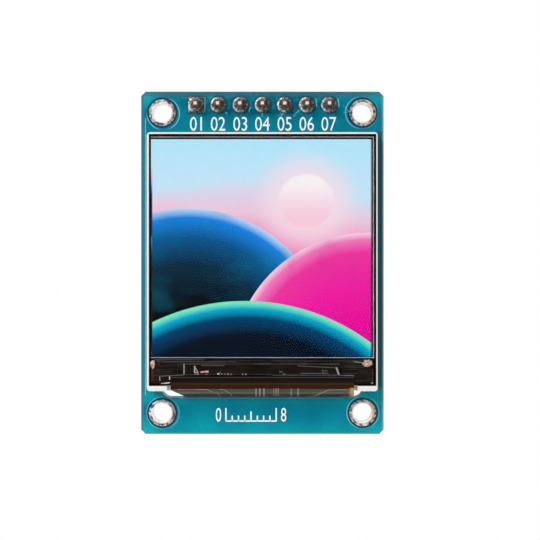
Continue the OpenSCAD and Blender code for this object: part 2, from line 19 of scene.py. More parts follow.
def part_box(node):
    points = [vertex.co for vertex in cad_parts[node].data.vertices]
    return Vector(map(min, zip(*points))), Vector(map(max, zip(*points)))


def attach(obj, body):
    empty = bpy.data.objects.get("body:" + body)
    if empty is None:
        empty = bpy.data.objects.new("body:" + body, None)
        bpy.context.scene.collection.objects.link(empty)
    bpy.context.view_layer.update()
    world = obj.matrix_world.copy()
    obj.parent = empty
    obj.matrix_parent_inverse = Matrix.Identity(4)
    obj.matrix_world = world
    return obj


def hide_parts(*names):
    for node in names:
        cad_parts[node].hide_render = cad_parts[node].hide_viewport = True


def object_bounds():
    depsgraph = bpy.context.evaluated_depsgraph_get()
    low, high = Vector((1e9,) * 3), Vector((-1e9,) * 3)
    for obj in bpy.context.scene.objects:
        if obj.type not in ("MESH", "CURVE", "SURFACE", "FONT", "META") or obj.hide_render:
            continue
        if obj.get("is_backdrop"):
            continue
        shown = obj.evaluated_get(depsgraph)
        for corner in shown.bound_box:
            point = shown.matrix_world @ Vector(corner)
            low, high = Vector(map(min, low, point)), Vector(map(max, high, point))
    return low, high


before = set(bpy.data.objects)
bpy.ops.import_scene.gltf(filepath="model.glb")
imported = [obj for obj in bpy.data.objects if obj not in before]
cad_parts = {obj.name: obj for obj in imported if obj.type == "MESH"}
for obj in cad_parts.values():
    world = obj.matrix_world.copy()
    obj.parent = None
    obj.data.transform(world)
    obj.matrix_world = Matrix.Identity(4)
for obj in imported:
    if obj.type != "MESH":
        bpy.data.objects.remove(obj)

logging.basicConfig(level=logging.INFO, format="%(message)s")
LOG = logging.getLogger("display_module")

MM = 0.001
TURN = 2 * math.pi
ROOT = "root"
PIN_COUNT = 7
PIN_PITCH = 2.54
PIN_ROW = 18.11
# Space between the driver chip and the flex on the glass
CHIP_GAP = 0.25
# Distance below which two points are one
MERGE = 1e-4

Colour = tuple[float, float, float, float]
Shades = tuple[tuple[float, Colour], ...]
Operand = Union["Wire", float, Sequence[float]]
Spot = tuple[float, float]


def hue(red: int, green: int, blue: int) -> Colour:
    """Turns a colour as it looks on a screen, 0 to 255, into linear light.

    Args:
        red: Red share.
        green: Green share.
        blue: Blue share.

    Returns:
        The colour with an alpha of one.
    """
    def linear(share: int) -> float:
        """One channel in linear light."""
        s = share / 255
        return s / 12.92 if s <= 0.04045 else ((s + 0.055) / 1.055) ** 2.4

    return (linear(red), linear(green), linear(blue), 1.0)


def grey(level: int) -> Colour:
    """A neutral colour of one level, 0 to 255."""
    return hue(level, level, level)


WHITE = grey(255)


@dataclass(frozen=True)
class Span:
    """The lowest and highest corners of a CAD node, in millimetres."""

    low: Vector
    high: Vector

    @classmethod
    def of(cls, node: str) -> "Span":
        """Reads a node's box from the frame."""
        low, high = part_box(node)
        return cls(low / MM, high / MM)

    @property
    def middle(self) -> Vector:
        """The middle of the box."""
        return (self.low + self.high) / 2

    @property
    def size(self) -> Vector:
        """The box's sides."""
        return self.high - self.low


class Facing(Enum):
    """The two sides of the board that print and tracks lie on."""

    FRONT = -1
    REAR = 1

    @property
    def level(self) -> float:
        """Y of the mask's surface on this side."""
        front, rear = Span.of("solder_mask_front"), Span.of("solder_mask_rear")
        return front.low.y if self is Facing.FRONT else rear.high.y

    @property
    def turn(self) -> Matrix:
        """Stands a flat drawing up so that it is read from this side."""
        upright = Matrix.Rotation(math.pi / 2, 4, "X")
        return upright if self is Facing.FRONT else Matrix.Rotation(math.pi, 4, "Z") @ upright


# ---------------------------------------------------------------------------- shader wiring


class Wire:
    """A node's output that adds Math nodes when it is used in an expression."""

    def __init__(self, bench: "Bench", socket: bpy.types.NodeSocket) -> None:
        """Keeps the socket and the bench it belongs to."""
        self.bench = bench
        self.socket = socket

    def math(self, operation: str, *operands: Operand, clamp: bool = False) -> "Wire":
        """Adds a Math node, with all its operands in order."""
        return self.bench.node("Math", {"operation": operation, "use_clamp": clamp}, operands)

    def _with(self, operation: str, other: Operand) -> "Wire":
        """Adds a Math node for this value and another."""
        return self.math(operation, self, other)

    def _alone(self, operation: str) -> "Wire":
        """Adds a Math node for this value."""
        return self.math(operation, self)

    __add__ = __radd__ = partialmethod(_with, "ADD")
    __sub__ = partialmethod(_with, "SUBTRACT")
    __mul__ = __rmul__ = partialmethod(_with, "MULTIPLY")
    __truediv__ = partialmethod(_with, "DIVIDE")
    __abs__ = partialmethod(_alone, "ABSOLUTE")
    most = partialmethod(_with, "MAXIMUM")
    sine = partialmethod(_alone, "SINE")
    sign = partialmethod(_alone, "SIGN")

    def __rsub__(self, other: Operand) -> "Wire":
        """Difference from a number."""
        return self.math("SUBTRACT", other, self)

    def clamp(self) -> "Wire":
        """This value kept between zero and one."""
        return self.math("ADD", self, 0.0, clamp=True)

    def reach(self, other: "Wire") -> "Wire":
        """Distance from the origin of the place that this value and another give."""
        return self.math("SQRT", self * self + other * other)

    def wrap(self, low: float, high: float) -> "Wire":
        """This value folded into a range that repeats."""
        return self.math("WRAP", self, high, low)

    def rise(self, start: float, end: float) -> "Wire":
        """Runs smoothly from zero at start to one at end, whichever of them is larger.

        Args:
            start: Value that gives zero.
            end: Value that gives one.

        Returns:
            The smooth step.
        """
        settings = {"interpolation_type": "SMOOTHSTEP"}
        low, high = (0.0, 1.0) if start < end else (1.0, 0.0)
        return self.bench.node(
            "MapRange", settings, {0: self, 1: min(start, end), 2: max(start, end), 3: low, 4: high}
        )

    def band(self, middle: float, half: float, soft: float = 0.02) -> "Wire":
        """Is one within half a width of a middle, with soft sides."""
        return abs(self - middle).rise(half + soft, half)


class Bench:
    """The node tree of a material or a world, with millimetre coordinates ready to use."""

    def __init__(self, owner: Union[bpy.types.Material, bpy.types.World]) -> None:
        """Empties the owner's tree.

        Args:
            owner: The material or the world.
        """
        owner.use_nodes = True
        self.owner = owner
        self.tree = owner.node_tree
        self.tree.nodes.clear()

    def node(
        self,
        kind: str,
        settings: Mapping[str, Any] | None = None,
        sockets: Mapping[Any, Any] | Sequence[Any] = (),
        out: int | str = 0,
    ) -> Wire:
        """Adds any node.

        Args:
            kind: The node's type, without its prefix.
            settings: Its properties, or a ramp's stops as pairs of place and colour.
            sockets: Values or wires of its inputs, by name or by number.
            out: The output wanted.

        Returns:
            That output.
        """
        made = self.tree.nodes.new("ShaderNode" + kind)
        for name, value in (settings or {}).items():
            if name == "stops":
                self._set_stops(made.color_ramp.elements, value)
            else:
                setattr(made, name, value)
        pairs = sockets.items() if isinstance(sockets, Mapping) else enumerate(sockets)
        for key, value in pairs:
            if isinstance(value, Wire):
                self.tree.links.new(value.socket, made.inputs[key])
            else:
                made.inputs[key].default_value = value
        return Wire(self, made.outputs[out])

    @staticmethod
    def _set_stops(elements: Any, stops: Shades) -> None:
        """Gives a ramp its stops.

        Args:
            elements: The ramp's elements.
            stops: Place and colour of each stop.
        """
        while len(elements) < len(stops):
            elements.new(1.0)
        for element, (place, colour) in zip(elements, stops):
            element.position = place
            element.color = colour

    @property
    def place(self) -> Wire:
        """Object coordinates in millimetres."""
        raw = self.node("TexCoord", out="Object")
        return self.node("VectorMath", {"operation": "SCALE"}, {0: raw, "Scale": 1 / MM})

    def split(self, vector: Wire) -> tuple[Wire, Wire, Wire]:
        """The three parts of a vector."""
        parts = self.node("SeparateXYZ", sockets=[vector]).socket.node
        return tuple(Wire(self, socket) for socket in parts.outputs)

    def axes(self) -> tuple[Wire, Wire, Wire]:
        """The three object coordinates in millimetres."""
        return self.split(self.place)

    def stretched(self, scale: Sequence[float] = (1, 1, 1)) -> Wire:
        """Millimetre coordinates, scaled along each axis."""
        return self.node("Mapping", sockets={"Vector": self.place, "Scale": tuple(scale)})

    def speckle(self, per_mm: float, detail: float = 2.0, scale: Sequence[float] = (1, 1, 1)) -> Wire:
        """Noise around one half, with so many cycles a millimetre and so many finer octaves."""
        return self.node("TexNoise", {}, {"Vector": self.stretched(scale), "Scale": per_mm, "Detail": detail})

    def cells(self, per_mm: float) -> Wire:
        """Distance to the nearest of scattered points, with so many of them a millimetre."""
        return self.node("TexVoronoi", {}, {"Vector": self.stretched(), "Scale": per_mm})

    def blend(self, mask: Operand, low: Operand, high: Operand) -> Wire:
        """Mixes two colours by the share of the second."""
        return self.node("Mix", {"data_type": "RGBA"}, {0: mask, 6: low, 7: high}, out=2)

    def ramp(self, value: Wire, stops: Shades) -> Wire:
        """Colours a value between zero and one by places and their colours."""
        return self.node("ValToRGB", {"stops": stops}, [value])

    def bump(self, height: Wire, depth: float, strength: float = 1.0) -> Wire:
        """Turns heights into a normal, where a height of one stands for a depth in millimetres."""
        return self.node("Bump", {}, {"Strength": strength, "Distance": depth * MM, "Height": height})

    def surface(self, sockets: Mapping[str, Any]) -> None:
        """Ends the tree in one Principled shader with these inputs."""
        self.finish(self.node("BsdfPrincipled", {}, sockets))

    def coat(
        self, colour: Operand, rough: Operand, relief: Wire, depth: float,
        specular: float = 0.5, metallic: Operand = 0.0, more: Mapping[str, Any] | None = None,
    ) -> None:
        """Ends the tree in one Principled shader with a relief.

        Args:
            colour: Base colour.
            rough: Roughness.
            relief: Heights, zero to one.
            depth: Millimetres that a height of one stands for.
            specular: Level of the mirror reflection.
            metallic: Share of metal.
            more: Other inputs, by name.
        """
        self.surface({
            "Base Color": colour,
            "Roughness": rough,
            "Specular IOR Level": specular,
            "Metallic": metallic,
            "Normal": self.bump(relief, depth),
            **(more or {}),
        })

    def finish(self, shader: Wire) -> None:
        """Links a shader to the output.

        Args:
            shader: The last shader.
        """
        kind = "World" if isinstance(self.owner, bpy.types.World) else "Material"
        output = self.tree.nodes.new("ShaderNodeOutput" + kind)
        self.tree.links.new(shader.socket, output.inputs["Surface"])


# ---------------------------------------------------------------------------- finishes


@dataclass(frozen=True)
class Finish:
    """A named finish that makes its material once."""

    name: str

    @lru_cache(maxsize=None)
    def material(self) -> bpy.types.Material:
        """Builds the material when it is first asked for.

        Returns:
            The material.
        """
        material = bpy.data.materials.new(self.name)
        self.mix(Bench(material))
        return material

    def mix(self, bench: Bench) -> None:
        """Builds the material on a bench."""
        raise NotImplementedError


@dataclass(frozen=True)
class Mark:
    """A short straight mark on an upright face."""

    x: float
    z: float
    half_x: float
    half_z: float
    level: float = 1.0
    lean: float = 0.0
    climb: float = 0.0

    def mask(self, x: Wire, z: Wire) -> Wire:
        """Its share at each place.

        Args:
            x: Place across.
            z: Place up.

        Returns:
            The mask.
        """
        across = x - self.x - (z - self.z) * self.lean
        up = z - self.z - (x - self.x) * self.climb
        return across.band(0.0, self.half_x, 0.03) * up.band(0.0, self.half_z, 0.03) * self.level

    @staticmethod
    def draw(bench: Bench, *marks: "Mark") -> Wire:
        """The strongest of several marks at each place."""
        x, _, z = bench.axes()
        return reduce(Wire.most, [mark.mask(x, z) for mark in marks])


@dataclass(frozen=True)
class Lacquer(Finish):
    """Solder mask: clear blue lacquer over copper and glass cloth."""

    shades: Shades = (
        (0.0, hue(0, 90, 116)), (0.35, hue(0, 127, 150)), (0.7, hue(4, 160, 173)), (1.0, hue(36, 184, 192)),
    )
    # Colour of the pale lines and painted highlights on the mask
    lip: Colour = hue(150, 222, 236)
    lip_gap: float = 0.32
    # Shift of each hole's lip, as the mask was printed a little askew
    askew: tuple[tuple[float, float, float, float], ...] = (
        (-1, 1, 0.13, -0.13), (1, 1, -0.12, 0.0), (-1, -1, 0.1, 0.0), (1, -1, 0.04, 0.06),
    )
    # Pale lines beside the header's pads and the tracks that leave them
    whiskers: tuple[Mark, ...] = (
        Mark(-6.6, 18.1, 0.03, 0.85, 0.6), Mark(6.18, 18.35, 0.04, 0.45, 0.55, lean=-0.1),
        Mark(8.72, 18.35, 0.05, 0.5, 0.5, lean=-0.15), Mark(2.42, 17.2, 0.05, 0.32, 0.6, lean=0.8),
        Mark(3.86, 17.15, 0.06, 0.34, 0.6, lean=0.9), Mark(-4.15, 17.15, 0.1, 0.09, 0.6),
        Mark(-1.45, 17.6, 0.05, 0.2, 0.7, lean=0.4), Mark(9.6, 17.25, 0.3, 0.03, 0.35),
        Mark(0.0, 17.1, 0.03, 0.2, 0.5),
    )
    weave: Spot = (0.56, 0.62)
    raised: float = 0.0

    def mix(self, bench: Bench) -> None:
        """Builds the lacquer.

        Args:
            bench: Bench of the new material.
        """
        x, y, z = bench.axes()
        wide, high = abs(x), abs(z)
        front = y.rise(0.2, -0.2)
        cloth = (x * (TURN / self.weave[0])).sine() * (z * (TURN / self.weave[1])).sine()
        haze = bench.speckle(0.22, 3) * 0.5 + bench.speckle(2.4, 3) * 0.16
        # Lighter towards the corners, the upper left most: painted light falling from the upper left
        paler = z.rise(18, -18) * -0.2 + x.rise(0, 12) * -0.12 + 0.52
        corner = wide.rise(10.5, 13.6) * high.rise(16.8, 19.2) * paler
        # Lighter towards the foot, with painted light just under the slot, where the flex's shade falls
        foot = z.rise(-16.9, -19.6) * 0.28 + z.rise(-16.6, -15.8) * z.rise(-14, -15.4) * 0.26
        # Round the pin row: a mottle, painted shade over the row and a painted shadow beside each pin, deeper
        # on its right
        pins = z.rise(16.6, 17.3) * wide.rise(9.6, 8.2)
        mottle = (bench.speckle(1.3, 3) - 0.5) * pins * 1.5
        beside, above = x.wrap(-PIN_PITCH / 2, PIN_PITCH / 2), z - Span.of("pin_1").middle.z
        pin_shadow = beside.reach(above).rise(1.25, 0.9) * (beside.rise(-0.6, 0.6) * 0.6 + 0.4)
        level = corner + foot + haze + mottle + cloth * 0.015 + self.raised
        level = (level - pins * (pin_shadow * 0.55 + 0.12)).clamp()
        colour = bench.blend(self._lip(bench, front), bench.ramp(level, self.shades), self.lip)
        for mask, tint in self._edges(x, z):
            colour = bench.blend(mask * front, colour, tint)
        skin = bench.speckle(3.5, 2) * 0.5 + cloth * 0.06
        bench.coat(colour, rough=bench.speckle(1.2) * 0.16 + 0.26, relief=skin, depth=0.006, specular=0.14)

    def _lip(self, bench: Bench, front: Wire) -> Wire:
        """Pale lines: a painted highlight on the mask's rim round each fixing hole, another under the slot,
        and lines beside the panel and the pins.

        Args:
            bench: Bench of the material.
            front: One on the screen side, where the lines are.

        Returns:
            The lines' mask.
        """
        x, _, z = bench.axes()
        ring, panel, flex = (Span.of(node) for node in ("fixing_ring_2", "backlight_frame", "flex_tail"))
        line = Mark(panel.low.x - 0.33, panel.middle.z + 0.6, 0.02, panel.size.z / 2 + 1.2, 0.85)
        # Painted highlight on the slot's lower edge
        sill = Mark(0, flex.low.z - 0.3, 9.4, 0.02, 0.28)
        lines = Mark.draw(bench, line, sill).most(Mark.draw(bench, *self.whiskers)) * front
        for side_x, side_z, shift_x, shift_z in self.askew:
            across = x - side_x * ring.middle.x - shift_x
            up = z - side_z * ring.middle.z - shift_z
            # Painted highlight: brighter on each rim's sides and left, and on the upper holes, the upper left
            # one most
            side = 0.4 if side_z < 0 else 0.9 - max(side_x, 0) * 0.55
            lit = abs(across).rise(0.3, 1.5) * side + across.rise(0.4, -1.4) * 0.4 + 0.08
            circle = across.reach(up).band(ring.size.x / 2 + self.lip_gap, 0.025, 0.03) * lit.clamp()
            lines = lines.most(circle * (bench.speckle(0.7) * 0.7 + 0.5))
        return lines.clamp()

    @staticmethod
    def _edges(x: Wire, z: Wire) -> list[tuple[Wire, Colour]]:
        """The duller rims of the board, and the strip that the panel shades.

        Args:
            x: Place across.
            z: Place up.

        Returns:
            Each mask with its colour.
        """
        board, panel = Span.of("board"), Span.of("backlight_frame")
        shade = x.rise(panel.high.x - 0.1, panel.high.x + 0.1) * z.rise(panel.low.z - 0.2, panel.low.z + 0.6)
        return [
            (shade * z.rise(panel.high.z + 0.6, panel.high.z) * 0.8, hue(38, 74, 84)),
            (x.rise(board.low.x + 0.34, board.low.x + 0.18) * 0.8, hue(70, 118, 124)),
            (z.rise(board.high.z - 0.8, board.high.z - 0.3) * 0.72, hue(62, 112, 120)),
            (z.rise(board.low.z + 0.2, board.low.z + 0.1) * 0.8, hue(78, 138, 140)),
            (x.rise(board.high.x - 0.24, board.high.x - 0.14) * 0.85, hue(128, 154, 172)),
        ]


@dataclass(frozen=True)
class Laminate(Finish):
    """Glass cloth in resin, layered on its cut edges and dark under its faces, with painted light on the
    slot's cut edges and a painted shadow where the flex passes in front of them.
    """

    skin: Colour = hue(6, 46, 78)
    layer: float = 0.19

    def mix(self, bench: Bench) -> None:
        """Builds the laminate.

        Args:
            bench: Bench of the new material.
        """
        x, y, z = bench.axes()
        board, flex = Span.of("board"), Span.of("flex_tail")
        wave = ((x + z) * 5.2).sine() * 0.02
        layers = ((y + wave) * (TURN / self.layer)).sine() * 0.5 + 0.5
        fibres = bench.speckle(1.6, 3, (3, 30, 3))
        cut = bench.ramp(
            (layers * 0.5 + fibres * 0.6).clamp(),
            [(0.15, hue(128, 138, 104)), (0.5, hue(178, 184, 150)), (0.85, hue(216, 218, 192))],
        )
        # Painted light on the slot's cut edges, and a painted shadow of the flex over their middle
        slot = abs(x).rise(12.2, 11.9) * z.band(flex.low.z + 0.75, 1.1, 0.1)
        under = abs(x).rise(9.5, 8.6) * slot
        cut = bench.blend(slot, cut, hue(214, 228, 230))
        cut = bench.blend(under, cut, hue(24, 66, 64))
        face = abs(y - board.middle.y).rise(board.size.y / 2 - 0.03, board.size.y / 2 - 0.01)
        grain = bench.speckle(6, 2)
        colour = bench.blend(face, cut, bench.blend(grain, self.skin, hue(14, 66, 96)))
        bench.coat(colour, rough=grain * 0.2 + 0.55, relief=fibres + layers * 0.4, depth=0.02, specular=0.2)


@dataclass(frozen=True)
class RingMetal(Finish):
    """Dipped tin on a fixing hole's ring: lumps with painted bright and dark reflections, dark pits, and a
    golden side.
    """

    shades: Shades = (
        (0.08, hue(34, 34, 36)), (0.3, hue(118, 116, 118)), (0.5, hue(196, 200, 204)), (0.72, WHITE),
    )
    gold: Colour = hue(206, 160, 104)

    def mix(self, bench: Bench) -> None:
        """Builds the metal.

        Args:
            bench: Bench of the new material.
        """
        x, _, z = bench.axes()
        ring = Span.of("fixing_ring_2")
        across, up = x - x.sign() * ring.middle.x, abs(z) - ring.middle.z
        lumps = bench.speckle(2.4, 3)
        pits = bench.cells(3.4).rise(0.26, 0.12)
        inner = across.reach(up).rise(ring.size.x / 2 - 0.24, ring.size.x / 2 - 0.4)
        # Painted reflections: the lumps run from dark to white, brighter near the hole and darker in the pits
        level = lumps * 1.7 - 0.56 + bench.speckle(7, 2) * 0.3 - pits * (0.4 - inner * 0.3) + inner * 0.5
        colour = bench.ramp(level.clamp(), self.shades)
        tint = (across.rise(0.2, 1.3) * 0.6 + x.rise(0, 10) * 0.22) * lumps.rise(0.38, 0.56)
        colour = bench.blend(tint, colour, self.gold)
        bench.coat(colour, rough=lumps * 0.3 + 0.2, relief=lumps - pits * 0.6, depth=0.05, metallic=0.3)


@dataclass(frozen=True)
class SolderCoat(Finish):
    """Solder drawn up round each pin: painted reflections in its folds, a painted highlight on its left rim,
    painted shade on its right and next to the pin, and copper tints by the pin.
    """

    shades: Shades = (
        (0.04, hue(20, 21, 24)), (0.24, hue(86, 88, 86)), (0.46, hue(140, 142, 136)),
        (0.7, hue(214, 220, 222)),
    )
    copper: Colour = hue(124, 78, 50)

    def mix(self, bench: Bench) -> None:
        """Builds the solder.

        Args:
            bench: Bench of the new material.
        """
        x, _, z = bench.axes()
        across, up = x.wrap(-PIN_PITCH / 2, PIN_PITCH / 2), z - Span.of("pin_1").middle.z
        reach = across.reach(up)
        folds = bench.speckle(3.2, 3)
        fine = bench.speckle(7, 3)
        # Painted highlight on the left of the rim, and painted shade on the right and next to the pin
        rim = reach.band(0.8, 0.04, 0.12) * across.rise(0.25, -0.45)
        dark = across.rise(0.1, 0.75) * 0.16 + reach.rise(0.55, 0.4) * 0.15
        # Painted reflections: the folds run from near black to pale grey
        level = folds * 1.7 + fine * 0.3 - 0.7 + rim * 0.28 - dark
        colour = bench.ramp(level.clamp(), self.shades)
        warm = reach.rise(0.75, 0.45) * (across.rise(-0.1, 0.25) + up.rise(0.1, 0.5) * 0.6).clamp()
        colour = bench.blend(warm * folds.rise(0.3, 0.5) * 0.8, colour, self.copper)
        bench.coat(colour, rough=fine * 0.3 + 0.15, relief=folds + fine * 0.3, depth=0.06, metallic=0.35)


@dataclass(frozen=True)
class Metal(Finish):
    """A metal with a grain, patches of tarnish and specks of dust."""

    clean: Colour = hue(214, 212, 208)
    stained: Colour = hue(120, 112, 100)
    depth: float = 0.01
    grain: float = 5.0

    def mix(self, bench: Bench) -> None:
        """Builds the metal.

        Args:
            bench: Bench of the new material.
        """
        patches = bench.speckle(1.4, 3).rise(0.55, 0.8)
        grain = bench.speckle(self.grain, 4)
        dust = bench.cells(self.grain).rise(0.12, 0.05) * 0.5
        colour = bench.blend((patches + dust).clamp(), self.clean, self.stained)
        bench.coat(
            colour, rough=(grain * 0.3 + patches * 0.2 + 0.2).clamp(), relief=grain + patches * 0.4,
            depth=self.depth, metallic=1.0,
        )


@dataclass(frozen=True)
class PinMetal(Finish):
    """Drawn brass under a gold flash, with the bright sheared tip of a cut pin and a painted brown reflection
    on its sides near the tip.
    """

    def mix(self, bench: Bench) -> None:
        """Builds the pin metal.

        Args:
            bench: Bench of the new material.
        """
        _, y, _ = bench.axes()
        front = Span.of("pin_1").low.y
        drawn = bench.speckle(1.2, 3, (14, 0.6, 14))
        tip = y.rise(front + 0.05, front + 0.01)
        # Painted brown reflection, less metallic, on the last 1.2 mm before the tip
        brown_reflection = y.rise(front + 1.6, front + 1.2)
        brass = bench.blend(drawn.rise(0.35, 0.75), hue(222, 186, 112), hue(178, 138, 72))
        brass = bench.blend(brown_reflection, brass, bench.blend(drawn, hue(158, 108, 66), hue(108, 70, 44)))
        cut = bench.blend(drawn.rise(0.3, 0.6), hue(224, 196, 184), hue(255, 240, 232))
        colour = bench.blend(tip, brass, cut)
        bench.coat(
            colour, rough=drawn * 0.25 + 0.2, relief=drawn, depth=0.012,
            metallic=(0.9 - brown_reflection * 0.7 - tip * 0.2).clamp(),
        )


@dataclass(frozen=True)
class Moulding(Finish):
    """Moulded plastic with a fine spark-eroded skin and faint flow marks."""

    body: Colour = grey(22)
    shade: Colour = grey(34)
    rough: Spot = (0.4, 0.25)
    specular: float = 0.35
    grain: float = 9.0
    depth: float = 0.01

    def mix(self, bench: Bench) -> None:
        """Builds the plastic.

        Args:
            bench: Bench of the new material.
        """
        flow = bench.speckle(0.5, 2, (1, 1, 2.5))
        skin = bench.speckle(self.grain, 3)
        base, swing = self.rough
        colour = bench.blend(flow * 0.7 + skin * 0.3, self.body, self.shade)
        bench.coat(colour, rough=skin * swing + base, relief=skin, depth=self.depth, specular=self.specular)


@dataclass(frozen=True)
class ClearSheet(Finish):
    """Clear glass or acrylic, faintly tinted."""

    tint: Colour = (0.97, 0.985, 0.98, 1)
    ior: float = 1.18

    def mix(self, bench: Bench) -> None:
        """Builds the clear sheet.

        Args:
            bench: Bench of the new material.
        """
        smear = bench.speckle(0.6, 3)
        bench.surface({
            "Base Color": bench.blend(smear * 0.25, self.tint, WHITE),
            "Roughness": smear * 0.002,
            "IOR": self.ior,
            "Transmission Weight": 1.0,
            "Normal": bench.bump(bench.speckle(0.35, 1), 0.001, 0.3),
        })


@dataclass(frozen=True)
class FilmSheet(Finish):
    """A thin optical film with ribs or a frosted face."""

    colour: Colour = hue(226, 230, 234)
    rib: float = 0.1
    rough: float = 0.35
    metallic: float = 0.0

    def mix(self, bench: Bench) -> None:
        """Builds the film.

        Args:
            bench: Bench of the new material.
        """
        x, _, _ = bench.axes()
        ribs = (x * (TURN / self.rib)).sine() * 0.5 + 0.5
        frost = bench.speckle(7, 3)
        colour = bench.blend(frost * 0.5, self.colour, grey(250))
        bench.coat(
            colour, rough=frost * 0.2 + self.rough, relief=ribs * 0.6 + frost * 0.4, depth=0.006,
            metallic=self.metallic,
        )


@dataclass(frozen=True)
class FramePlastic(Finish):
    """White moulding with painted shade on its inner walls, where the glass drops in, and a painted shadow on
    the front strip of its right rim.
    """

    def mix(self, bench: Bench) -> None:
        """Builds the frame's plastic.

        Args:
            bench: Bench of the new material.
        """
        x, y, z = bench.axes()
        frame_box, tape = Span.of("backlight_frame"), Span.of("shield_tape")
        left, foot = tape.low.x - 0.062, tape.low.z - 0.062
        # Painted shade on the inner walls of the recess that holds the glass
        pocket_shade = x.rise(tape.high.x + 0.15, tape.high.x + 0.1) * x.rise(tape.low.x - 0.075, left)
        pocket_shade = pocket_shade * z.rise(tape.high.z + 0.13, tape.high.z + 0.09) * z.rise(foot - 0.012, foot)
        pocket_shade = pocket_shade * y.rise(tape.high.y + 0.02, tape.high.y)
        skin = bench.speckle(6, 3)
        grain = bench.blend(skin * 0.4 + bench.speckle(0.9, 2) * 0.5, hue(250, 250, 248), hue(226, 224, 218))
        # Painted shadow on the outermost front strip of the right rim
        shade = x.rise(frame_box.high.x - 0.09, frame_box.high.x - 0.03)
        shade = shade * y.rise(frame_box.low.y + 0.05, frame_box.low.y + 0.02)
        grain = bench.blend(shade * 0.85, grain, hue(112, 112, 108))
        colour = bench.blend(pocket_shade, grain, hue(34, 26, 18))
        bench.coat(colour, rough=skin * 0.2 + 0.35, relief=skin, depth=0.006, specular=0.25)


@dataclass(frozen=True)
class BorderInk(Finish):
    """Black border round the picture, with painted highlights on the cut edges of the sheets at its right,
    its top and its foot.
    """

    # The picture's colours along its left edge, from its foot to its top
    light: Shades = (
        (0.0, hue(2, 10, 18)), (0.14, hue(40, 140, 180)), (0.17, hue(4, 14, 24)), (0.52, hue(4, 60, 110)),
        (0.64, hue(110, 180, 245)), (0.66, hue(222, 150, 200)), (0.78, hue(196, 226, 250)),
        (1.0, hue(184, 234, 255)),
    )

    def mix(self, bench: Bench) -> None:
        """Builds the border.

        Args:
            bench: Bench of the new material.
        """
        x, _, z = bench.axes()
        cell = Span.of("cell_border")
        # Painted highlights on the glass edges: grey lines at the right and the top, a pale blue line at the
        # foot
        side = x.rise(cell.high.x - 0.09, cell.high.x - 0.06)
        top = z.rise(cell.high.z - 0.14, cell.high.z - 0.1) * z.rise(cell.high.z - 0.01, cell.high.z - 0.03)
        foot = z.band(cell.low.z + 0.042, 0.014, 0.016)
        brown = x.rise(cell.low.x + 0.12, cell.low.x + 0.06)
        grain = bench.speckle(3, 3)
        colour = bench.blend(brown * grain, grey(4), hue(96, 58, 40))
        colour = bench.blend(side.most(top * 0.6) * (grain * 0.5 + 0.7), colour, hue(214, 206, 206))
        colour = bench.blend(foot, colour, hue(214, 234, 255))
        bench.coat(
            colour, rough=grain * 0.2 + 0.5, relief=grain, depth=0.003, specular=0.08,
            more={"Emission Color": self._glow(bench), "Emission Strength": 1.0},
        )

    def _glow(self, bench: Bench) -> Wire:
        """The picture's light that spills over the border's inner edge at the left and the top.

        Args:
            bench: Bench of the material.

        Returns:
            The colour of the light.
        """
        x, _, z = bench.axes()
        cell, sky = Span.of("cell_border"), Span.of("picture_sky")
        foot, top = sky.low.z, sky.high.z
        spill = x.rise(cell.low.x + 0.015, cell.low.x + 0.03) * x.rise(sky.high.x - 0.15, sky.high.x - 0.25)
        spill = spill * z.rise(top + 0.05, top + 0.035) * z.rise(foot - 0.01, foot + 0.01)
        return bench.blend(spill, grey(0), bench.ramp(((z - foot) / sky.size.z).clamp(), self.light))


@dataclass(frozen=True)
class LedgeGlass(Finish):
    """The bare foot of the lower glass: dark, with thin bus lines, stains and pale marks on it, some marks
    painted highlights.
    """

    line: float = 0.21
    # Pale marks, some of them painted highlights, such as the bright left end of the driver chip at x -8.88
    marks: tuple[Mark, ...] = (
        Mark(-9.4, -11.0, 2.8, 0.03, 0.13), Mark(-7.2, -11.24, 4.2, 0.02, 0.14),
        Mark(6.0, -11.14, 5.0, 0.015, 0.1), Mark(-8.88, -12.06, 0.04, 0.58, 0.7),
        Mark(5.8, -12.8, 4.6, 0.02, 0.34),
        Mark(-11.63, -13.16, 0.03, 0.22, 0.6), Mark(-10.2, -12.8, 1.3, 0.02, 0.2, climb=0.06),
        Mark(-10.52, -13.1, 0.05, 0.17, 0.95), Mark(-10.2, -13.12, 0.04, 0.05, 0.5),
        Mark(-11.0, -13.68, 0.48, 0.05, 1.6, climb=0.14), Mark(8.2, -13.14, 0.04, 0.13, 0.5),
        Mark(10.9, -11.28, 0.5, 0.03, 0.4, climb=-0.1), Mark(12.45, -13.66, 0.1, 0.06, 0.5),
    )
    stains: tuple[Mark, ...] = (
        Mark(-12.54, -12.5, 0.13, 0.9, 0.7), Mark(-12.6, -13.2, 0.1, 0.4, 0.6),
        Mark(-11.73, -11.24, 0.17, 0.06, 0.7), Mark(-11.7, -11.5, 0.08, 0.12, 0.35),
        Mark(12.5, -12.9, 0.05, 0.7, 0.4),
    )

    def mix(self, bench: Bench) -> None:
        """Builds the ledge.

        Args:
            bench: Bench of the new material.
        """
        _, _, z = bench.axes()
        broken = bench.speckle(0.9, 3, (0.5, 1, 6))
        rib = (z * (TURN / self.line)).sine() * 0.5 + 0.5
        marks = (Mark.draw(bench, *self.marks) + rib * broken.rise(0.4, 0.7) * 0.06).clamp()
        tint = bench.blend(bench.speckle(0.35, 2, (1, 1, 4)), hue(8, 10, 5), hue(40, 34, 28))
        tint = bench.blend(Mark.draw(bench, *self.stains) * (broken * 0.8 + 0.5), tint, hue(120, 58, 26))
        colour = bench.blend(marks, tint, hue(214, 208, 200))
        bench.coat(colour, rough=marks * 0.2 + 0.08, relief=marks, depth=0.004, specular=0.12)


